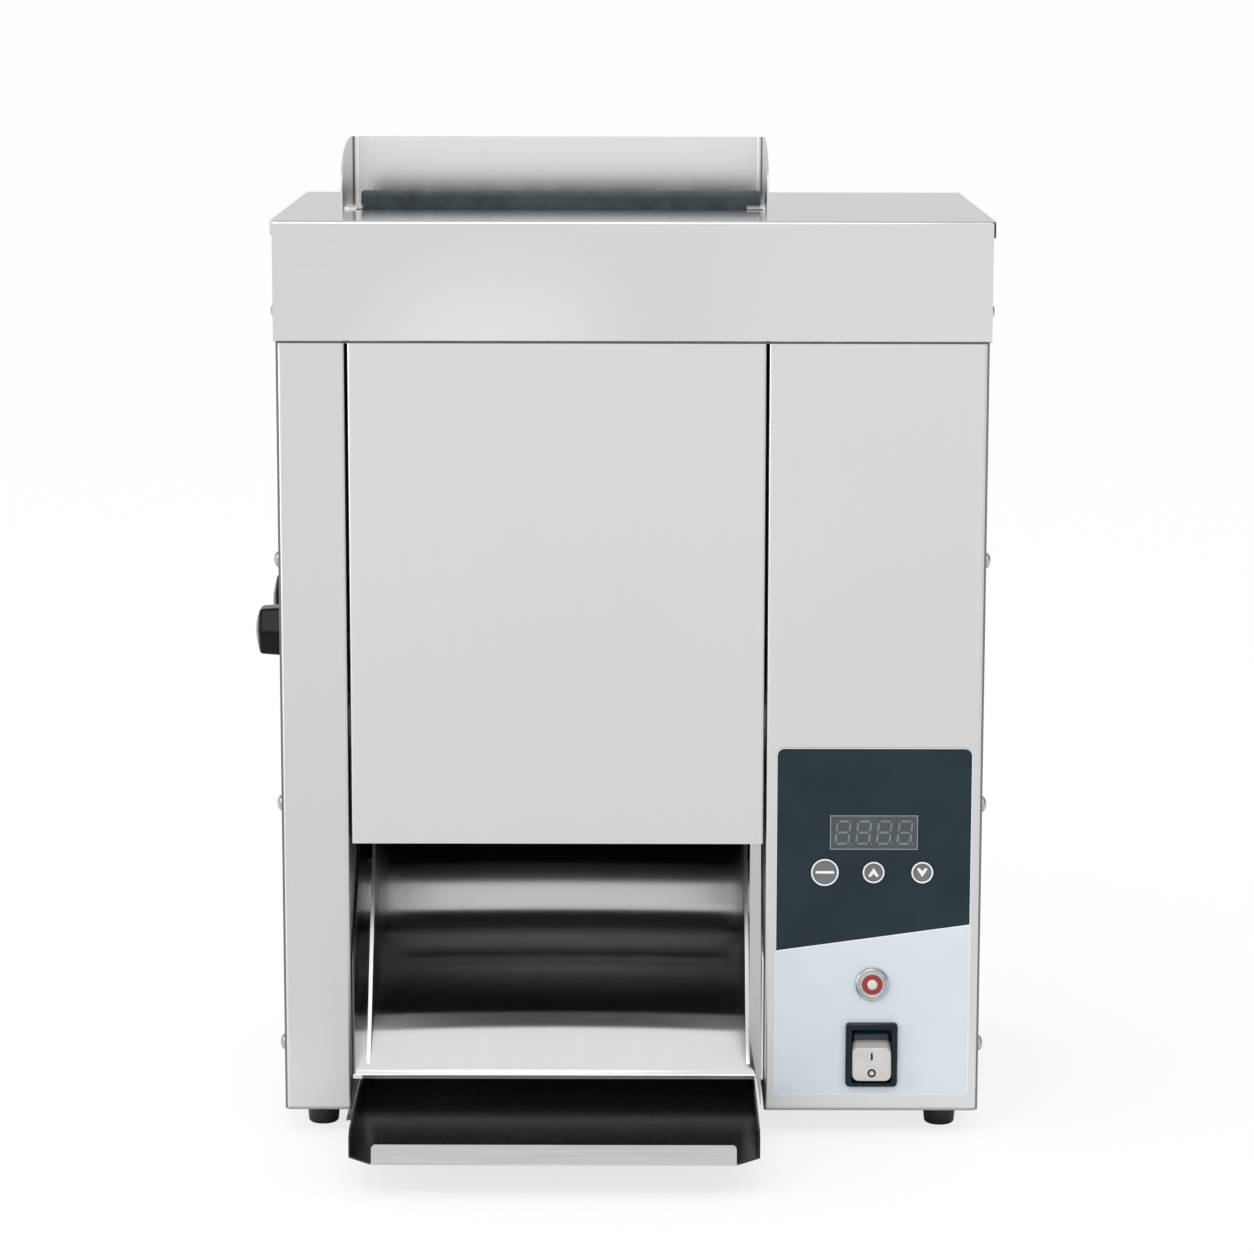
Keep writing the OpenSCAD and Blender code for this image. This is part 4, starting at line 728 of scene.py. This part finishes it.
class TOASTER_OT_panel_print(Operator):
    """Print the control film, the display's digits and the signs on the keys"""
    bl_idname = "toaster.panel_print"
    bl_label = "Print the control panel"

    def execute(self, context):
        looks, sizes = context.scene.toaster_looks, context.scene.toaster_sizes
        dress(overlay_film("control_overlay", looks), "control_overlay")
        dress(moulded("Acrylic_tinted_window", ("#3F4549", "#464C50"), (0.12, 0.18), 2 * MM, 0.002 * MM),
              "display")
        dress(moulded("Silicone_key_grey", ("#66696C", "#707376"), (0.40, 0.52)), "left_key", "up_key",
              "down_key")
        self.film_lines(looks)
        self.display(sizes)
        self.keys()
        return {"FINISHED"}

    @staticmethod
    def film_lines(looks):
        """A thin line round the film's edge and one along the slant between its two fields."""
        low, high = node_box("control_overlay")
        front, skin, line, wide, radius, inset = low[1], 0.05 * MM, 0.55 * MM, 0.8 * MM, 5 * MM, 0.05 * MM
        outer, inner = (rounded(low[0] + by, high[0] - by, low[2] + by, high[2] - by, corner)
                        for by, corner in ((inset, radius), (line, radius - line)))
        left, right = looks.print_left * MM, looks.print_right * MM
        ends = low[0] + line, high[0] - line
        slant = np.array([[ends[0], left - wide], [ends[1], right - wide], [ends[1], right], [ends[0], left]])
        shapes = frame_bar(outer, inner, front, front - skin), prism(slant, front, front - skin)
        white = moulded("Ink_screened_pale", ("#E2E6EA", "#EAEDF0"), (0.45, 0.55))
        add_piece("film_lines", *joined(*shapes), white, "frame", "overlay_film")

    def display(self, sizes):
        """A thin frame line near the window's edge and four slanted seven-segment digits on its face."""
        front, middle = node_box("display")[0][1], node_middle("display")
        reach = np.array([27.4 * MM, 0, 10.9 * MM])
        low, high = middle - reach, middle + reach
        line, skin = 0.45 * MM, 0.06 * MM
        bars = []
        for x0, x1, z0, z1 in ((low[0], high[0], low[2], low[2] + line),
                               (low[0], high[0], high[2] - line, high[2]),
                               (low[0], low[0] + line, low[2] + line, high[2] - line),
                               (high[0] - line, high[0], low[2] + line, high[2] - line)):
            bars.append(prism(np.array([[x0, z0], [x1, z0], [x1, z1], [x0, z1]]), front, front - skin))
        grey = moulded("Ink_screened_grey", ("#8E9599", "#989FA3"), (0.40, 0.50))
        add_piece("display_frame_line", *joined(*bars), grey, "frame", "display_window")
        segments = []
        for i in range(4):
            x = middle[0] + (i - 1.5) * sizes.digit_pitch
            segments += [prism(shape + [x, middle[2]], front, front - skin)
                         for shape in self.digit(sizes.digit_height)]
        unlit = moulded("Epoxy_segment_unlit", ("#6A737A", "#767F86"), (0.30, 0.40))
        add_piece("display_digits", *joined(*segments), unlit, "frame", "display_window")

    @staticmethod
    def digit(height):
        """Outlines of seven pointed bars and a dot about the origin; all lean right by a tenth."""
        lean, wide, thick, half = 0.1, height * 0.56, height * 0.085, height / 2
        gap, point = thick * 0.62, thick / 2
        shapes = []
        for cx, cz, upright in ((0, half, 0), (0, 0, 0), (0, -half, 0),
                                (-wide / 2, half / 2, 1), (wide / 2, half / 2, 1),
                                (-wide / 2, -half / 2, 1), (wide / 2, -half / 2, 1)):
            reach = (half if upright else wide) / 2 - gap
            bar = np.array([[-reach, 0], [-reach + point, -point], [reach - point, -point], [reach, 0],
                            [reach - point, point], [-reach + point, point]])
            bar = (bar[:, ::-1] if upright else bar) + [cx, cz]
            bar[:, 0] += bar[:, 1] * lean
            shapes.append(bar)
        shapes.append(arc((wide * 0.72 - half * lean, -half), thick * 0.4, 0, 2 * np.pi * 15 / 16, 16))
        return shapes

    @staticmethod
    def keys():
        """A ring near each key's rim, and a bar or an arrowhead in its middle."""
        white = moulded("Ink_screened_white", ("#E4E6E7", "#EEEFF0"), (0.45, 0.55))
        arrow = np.array([[0, 2.9], [3.3, -2.2], [2.6, -2.9], [1.6, -2.7], [0, -0.8], [-1.6, -2.7],
                          [-2.6, -2.9], [-3.3, -2.2]]) * MM
        bar = round_bar(11.8 * MM, 1.6 * MM)
        for name, body, sign in (("left_key", "key_left", bar), ("up_key", "key_up", arrow),
                                 ("down_key", "key_down", arrow * [1, -1])):
            low, high = node_box(name)
            middle = (low + high) / 2
            rim = (high[0] - low[0]) / 2 - 1.5 * MM
            face = low[1] + 0.4 * MM
            mark = prism(sign + [middle[0], middle[2]], face, face - 0.08 * MM)
            ring, faces = turned(ring_profile(rim - 1.0 * MM, rim - 0.05 * MM, 0.06 * MM))
            ring = ring + [middle[0], low[1], middle[2]]
            add_piece(name + "_sign", *joined(mark, (ring, faces)), white, body, "key_plastic")


class TOASTER_OT_lamp(Operator):
    """Dress the round indicator lamp"""
    bl_idname = "toaster.lamp"
    bl_label = "Dress the lamp"

    def execute(self, context):
        chrome = chrome_plate("Brass_chrome_plated", ("#B0B2B3", "#C6C7C8"))
        middle, face = node_middle("lamp_bezel"), node_box("control_overlay")[0][1]
        points, faces = self.ring(face)
        ring = add_piece("lamp_ring", points + [middle[0], face, middle[2]], faces, chrome, "frame", "chrome")
        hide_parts("lamp_bezel")
        middle = node_middle("lamp_lens")
        dress(lamp_red((middle[0], node_box("lamp_lens")[0][1], middle[2])), "lamp_lens")
        return {"FINISHED"}

    @staticmethod
    def ring(face):
        """A section turned about Y: a skirt in the hole, a round outer edge, and a dip towards the lens."""
        (low, high), (lens_low, lens_high) = node_box("lamp_bezel"), node_box("lamp_lens")
        rim, bore = (high[0] - low[0]) / 2, (lens_high[0] - lens_low[0]) / 2 + 0.02 * MM
        proud, back, edge = face - low[1], face - high[1], 1.4 * MM
        outer = arc((rim - edge, proud - edge), edge, 0, np.pi / 2, 7)
        dip = np.array([[rim - 2.0 * MM, proud], [rim - 2.3 * MM, proud - 0.5 * MM],
                        [bore, proud - 0.8 * MM]])
        skirt = np.array([[bore, back], [rim - 2.6 * MM, back], [rim - 2.6 * MM, 0], [rim, 0]])
        return turned(np.vstack([skirt, outer, dip, skirt[:1]]))


class TOASTER_OT_switch(Operator):
    """Make the switch's bezel and its rounded rocker, and mark the rocker's two ends"""
    bl_idname = "toaster.switch"
    bl_label = "Make the switch"

    # The rocker's face leans back: its depth in metres at the pivot's height, and its lean
    FACE, LEAN = -7.4 * MM, 2.4 / 21.8

    def execute(self, context):
        black = moulded("Polycarbonate_moulded_black", ("#0B141B", "#121C24"), (0.12, 0.18), 1.5 * MM,
                        0.003 * MM, {"Specular IOR Level": 0.25})
        glossy = moulded("Polycarbonate_polished_black", ("#0E202E", "#152A39"), (0.08, 0.12), 1.5 * MM,
                         0.001 * MM)
        silver = moulded("ABS_lacquered_silver", ("#C5C4C2", "#CFCECC"), (0.24, 0.32), 0.4 * MM, 0.003 * MM,
                         {"Metallic": 0.4})
        ink = moulded("Ink_pad_printed_dark", ("#141517", "#1D1E20"), (0.45, 0.60))
        joint = next(joint for joint in frame["joints"] if joint["name"] == "rocker_tilt")
        pivot = np.array(joint["pos_m"])
        housing = add_piece("switch_housing", *self.housing(), black, "frame", "black_plastic", 0.5)
        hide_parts("switch_body")
        points, faces = self.pillow()
        rocker = add_piece("rocker_cap", points + pivot, faces, silver, "switch_rocker", "rocker_silver", 0.7)
        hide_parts("rocker")
        points, faces = self.visor()
        add_piece("rocker_visor", points + pivot, faces, glossy, "switch_rocker", "black_plastic", 0.5)
        bar = prism(round_bar(5.0 * MM, 1.4 * MM)[:, ::-1] * [1, -1], 0.02 * MM, -0.05 * MM)
        ring = turned(ring_profile(1.45 * MM, 2.7 * MM, 0.05 * MM), 48)
        for name, (points, faces), height in (("rocker_mark_on", bar, 2.2 * MM),
                                              ("rocker_mark_off", ring, -8.3 * MM)):
            add_piece(name, self.on_face(points, height) + pivot, faces, ink, "switch_rocker",
                      "rocker_silver")
        return {"FINISHED"}

    @staticmethod
    def housing():
        """Outlines from the body's back to its rim, over the bevelled rim, and down the well to its floor.

        Each has a width, a height, a corner radius, a depth and a drop of its upper edge, in millimetres.
        """
        low, high = node_box("switch_body")
        x, z = (low + high)[[0, 2]] / 2 / MM
        rear, face, front = high[1] / MM, (DATUM[1] + SHEET) / MM, low[1] / MM
        loops = []
        for wide, tall, radius, y, drop in (
                (28, 37.6, 1.5, rear, 0), (28, 37.6, 1.5, face, 0), (33, 41.6, 2.2, face, 0),
                (33, 41.6, 2.8, face - 1.3, 0), (32.4, 41.0, 2.6, front + 0.5, 0),
                (31.0, 39.6, 2.2, front, 0), (25.8, 36.4, 1.6, front, 1.0),
                (25.0, 35.6, 1.4, front + 0.4, 1.0), (25.0, 35.6, 1.4, face + 10, 1.0)):
            line = rounded(x - wide / 2, x + wide / 2, z - tall / 2, z + tall / 2 - drop, radius)
            loops.append((line * MM, y * MM, 0.0))
        return loft(loops)

    @staticmethod
    def cushion(loops):
        """A loft over rounded outlines about the pivot.

        Each has a half width, two edges' heights, a corner radius and a depth in millimetres, and a lean.
        """
        return loft([(rounded(-x, x, z0, z1, radius) * MM, y * MM, lean)
                     for x, z0, z1, radius, y, lean in loops])

    def pillow(self):
        """Outlines from the leaning face, rounded over its edge, to the wide waist and in to the back."""
        half, face = 12.2, self.FACE / MM
        loops = [(half - inset, -13.4 + inset, 7.7 - inset, 4.0 - 0.6 * inset, face + depth, self.LEAN)
                 for inset, depth in ((1.3, 0.0), (0.6, 0.12), (0.2, 0.4), (0.0, 0.9))]
        loops += [(half, -13.4, 9.6, 3.6, -4.2, 0.06), (half, -13.2, 11.2, 3.2, -1.2, 0.0),
                  (half, -12.6, 11.0, 2.8, 0.4, 0.0), (half - 0.6, -7.8, 7.8, 2.0, 4.8, 0.0)]
        return self.cushion(loops)

    def visor(self):
        """The rocker's black upper end: leaning outlines, rounded over their edge, and a straight back."""
        half, foot, head, radius = 11.4, 8.0, 17.2, 3.4
        loops = [(half - inset, foot, head - inset, radius - 0.5 * inset, -5.9 + depth, 0.45)
                 for inset, depth in ((1.0, 0.0), (0.4, 0.15), (0.0, 0.7))]
        return self.cushion(loops + [(half, foot, head, radius, 5.2, 0.0)])

    def on_face(self, points, height):
        """Leans flat marks to the rocker's face and puts them at a height on it."""
        lean = np.arctan(self.LEAN)
        turn = np.array([[1, 0, 0], [0, np.cos(lean), np.sin(lean)], [0, -np.sin(lean), np.cos(lean)]])
        return points @ turn.T + [0, self.FACE + height * self.LEAN, height]


class TOASTER_OT_stage(Operator):
    """Set up the floor, the soft studio light and the camera"""
    bl_idname = "toaster.stage"
    bl_label = "Set the stage"

    def execute(self, context):
        scene = context.scene
        scene.view_settings.view_transform = "Standard"
        self.world(scene)
        self.floor(scene)
        self.lamps(scene)
        self.camera(scene)
        return {"FINISHED"}

    @staticmethod
    def world(scene):
        """White, but what gloss mirrors of it is greyer to the right and behind."""
        world = bpy.data.worlds.new("Studio")
        scene.world = world
        world.use_nodes = True
        tree = world.node_tree
        tree.nodes.clear()
        way = put(tree, "ShaderNodeTexCoord").outputs["Generated"]
        axes = put(tree, "ShaderNodeSeparateXYZ", {0: way}).outputs
        fades = []
        for axis, start, stop, least in (("X", 0.15, 0.65, 0.36), ("Y", -0.15, 0.05, 0.72)):
            run = {"Value": axes[axis], "From Min": start, "From Max": stop, "To Min": 1.0, "To Max": least}
            fade = put(tree, "ShaderNodeMapRange", run, interpolation_type="SMOOTHSTEP")
            fades.append(fade.outputs["Result"])
        mirrored = put(tree, "ShaderNodeMath", {0: fades[0], 1: fades[1]}, operation="MULTIPLY").outputs[0]
        gloss = put(tree, "ShaderNodeLightPath").outputs["Is Glossy Ray"]
        level = put(tree, "ShaderNodeMix", {0: gloss, 2: 1.0, 3: mirrored}).outputs[0]
        back = put(tree, "ShaderNodeBackground", {"Color": (1, 1, 1, 1), "Strength": level})
        put(tree, "ShaderNodeOutputWorld", {"Surface": back.outputs[0]})

    def floor(self, scene):
        """A flat square of 140 m, so that its far edge is out of sight."""
        half, lines = 70, 5
        side = np.linspace(-half, half, lines)
        x, y = np.meshgrid(side, side, indexing="ij")
        points = np.stack([x, y, 0 * x], axis=-1).reshape(-1, 3)
        mesh = bpy.data.meshes.new("floor")
        mesh.from_pydata(points.tolist(), [], grid_faces(lines, lines, False).tolist())
        mesh.materials.append(self.paper())
        floor = bpy.data.objects.new("floor", mesh)
        scene.collection.objects.link(floor)

    @staticmethod
    def paper():
        """Pale matt paper with a faint tooth.

        Three quarters of what the camera sees of it is plain white, so the shadow stays faint, but not under
        the chute. What gloss mirrors of it in front is plain white too, with painted shade close to the
        object.
        """
        material, tree, place, shader = begin("Paper_matt_white", {"IOR": 1.4})
        tooth = speckle(tree, place, 3 * MM)
        colour = toned(tree, tooth, linear("#FBFBFB"), linear("#FDFDFD"))
        finish_shader(tree, shader, colour, (tooth, 0.85, 0.95))
        rays = put(tree, "ShaderNodeLightPath").outputs
        camera, gloss = rays["Is Camera Ray"], rays["Is Glossy Ray"]
        axes = put(tree, "ShaderNodeSeparateXYZ", {0: place}).outputs
        # Painted shade: what gloss mirrors of the floor is darker close to the object
        run = {"Value": axes["Y"], "From Min": -2.1, "From Max": -0.3, "To Min": 1.0, "To Max": 0.86}
        near = put(tree, "ShaderNodeMapRange", run).outputs["Result"]
        level = put(tree, "ShaderNodeMix", {0: gloss, 2: 1.0, 3: near}).outputs[0]
        white = put(tree, "ShaderNodeEmission", {"Color": (1, 1, 1, 1), "Strength": level})
        low, high = node_box("tray")
        left, right = low[0] - 12 * MM, high[0] - 9 * MM
        middle, half = (left + right) / 2, (right - left) / 2
        front, rear, whitened = DATUM[1] + 30 * MM, node_box("hood")[1][1], 0.76
        shift = put(tree, "ShaderNodeMath", {0: axes["X"], 1: middle}, operation="SUBTRACT").outputs[0]
        away = put(tree, "ShaderNodeMath", {0: shift}, operation="ABSOLUTE").outputs[0]
        beside = put(tree, "ShaderNodeMath", {0: away, 1: half}, operation="GREATER_THAN").outputs[0]
        ahead = put(tree, "ShaderNodeMath", {0: axes["Y"], 1: front}, operation="LESS_THAN").outputs[0]
        past = put(tree, "ShaderNodeMath", {0: axes["Y"], 1: rear}, operation="GREATER_THAN").outputs[0]
        ends = put(tree, "ShaderNodeMath", {0: ahead, 1: past}, operation="MAXIMUM").outputs[0]
        clear = put(tree, "ShaderNodeMath", {0: beside, 1: ends}, operation="MAXIMUM").outputs[0]
        part = put(tree, "ShaderNodeMath", {0: camera, 1: whitened}, operation="MULTIPLY").outputs[0]
        seen = put(tree, "ShaderNodeMath", {0: part, 1: clear}, operation="MULTIPLY").outputs[0]
        run = {"Value": axes["Y"], "From Min": -0.34, "From Max": -0.24, "To Min": 1.0, "To Max": 0.0}
        before = put(tree, "ShaderNodeMapRange", run).outputs["Result"]
        mirrored = put(tree, "ShaderNodeMath", {0: gloss, 1: before}, operation="MULTIPLY").outputs[0]
        share = put(tree, "ShaderNodeMath", {0: seen, 1: mirrored}, operation="MAXIMUM").outputs[0]
        mixed = put(tree, "ShaderNodeMixShader", {0: share, 1: shader.outputs["BSDF"], 2: white.outputs[0]})
        tree.links.new(mixed.outputs[0], tree.nodes["Material Output"].inputs["Surface"])
        return material

    @staticmethod
    def lamps(scene):
        """A soft box above the front, a tall one at the left, two faint low ones that the hood mirrors."""
        for name, place, aim, (wide, tall), power in (
                ("key_box", (-0.4, -1.6, 2.4), (0, 0, 0.4), (1.6, 0.9), 12),
                ("left_box", (-2.4, -0.7, 0.8), (0, 0, 0.35), (0.9, 1.6), 14),
                ("low_box", (-0.16, -2.45, 0.26), (-0.08, -0.08, 0.53), (0.24, 0.14), 0.03),
                ("low_box_right", (0.36, -2.45, 0.30), (0.17, -0.08, 0.53), (0.5, 0.3), 0.04)):
            light = bpy.data.lights.new(name, "AREA")
            light.shape, light.size, light.size_y, light.energy = "RECTANGLE", wide, tall, power
            lamp = bpy.data.objects.new(name, light)
            away = np.array(place) - np.array(aim)
            away = away / np.linalg.norm(away)
            right = np.cross([0, 0, 1], away)
            right = right / np.linalg.norm(right)
            turn = np.column_stack([right, np.cross(away, right), away])
            lamp.matrix_world = Matrix.Translation(place) @ Matrix(turn.tolist()).to_4x4()
            lamp.visible_camera = False
            scene.collection.objects.link(lamp)

    @staticmethod
    def camera(scene):
        """The photograph's camera: its place in millimetres from the datum, its focal length in pixels."""
        offset, focal, picture, sensor = np.array([0.2, -2436.0, 744.4]) * MM, 3989, 1254, 36.0
        pitch, yaw, roll = np.radians([9.74, -0.08, -0.08])
        forward = np.array([np.sin(yaw) * np.cos(pitch), np.cos(yaw) * np.cos(pitch), -np.sin(pitch)])
        level = np.array([np.cos(yaw), -np.sin(yaw), 0.0])
        below = np.cross(forward, level)
        right = np.cos(roll) * level + np.sin(roll) * below
        down = np.cos(roll) * below - np.sin(roll) * level
        data = bpy.data.cameras.new("camera")
        data.sensor_width = sensor
        data.lens = focal / picture * sensor
        data.clip_end = 200
        camera = bpy.data.objects.new("camera", data)
        turn = np.column_stack([right, -down, -forward])
        camera.matrix_world = Matrix.Translation((DATUM + offset).tolist()) @ Matrix(turn.tolist()).to_4x4()
        scene.collection.objects.link(camera)
        scene.camera = camera


class TOASTER_PT_sidebar(Panel):
    """Lists the toaster's settings and operators"""
    bl_label = "Vertical bun toaster"
    bl_idname = "TOASTER_PT_sidebar"
    bl_space_type = "VIEW_3D"
    bl_region_type = "UI"
    bl_category = "Toaster"

    def draw(self, context):
        for group in (context.scene.toaster_looks, context.scene.toaster_sizes):
            for key in group.__annotations__:
                self.layout.prop(group, key)
        for operator in OPERATORS:
            self.layout.operator(operator.bl_idname)


OPERATORS = (TOASTER_OT_panels, TOASTER_OT_works, TOASTER_OT_chute, TOASTER_OT_knobs, TOASTER_OT_panel_print,
             TOASTER_OT_lamp, TOASTER_OT_switch, TOASTER_OT_stage)
CLASSES = (ToasterLooks, ToasterSizes, *OPERATORS, TOASTER_PT_sidebar)


def register():
    """Registers the classes and their settings."""
    for cls in CLASSES:
        bpy.utils.register_class(cls)
    bpy.types.Scene.toaster_looks = PointerProperty(type=ToasterLooks)
    bpy.types.Scene.toaster_sizes = PointerProperty(type=ToasterSizes)


def unregister():
    """Removes the settings and the classes."""
    del bpy.types.Scene.toaster_looks
    del bpy.types.Scene.toaster_sizes
    for cls in reversed(CLASSES):
        bpy.utils.unregister_class(cls)


def main():
    """Runs every operator in order."""
    register()
    bpy.ops.toaster.panels()
    bpy.ops.toaster.works()
    bpy.ops.toaster.chute()
    bpy.ops.toaster.knobs()
    bpy.ops.toaster.panel_print()
    bpy.ops.toaster.lamp()
    bpy.ops.toaster.switch()
    bpy.ops.toaster.stage()


if __name__ == "__main__":
    main()
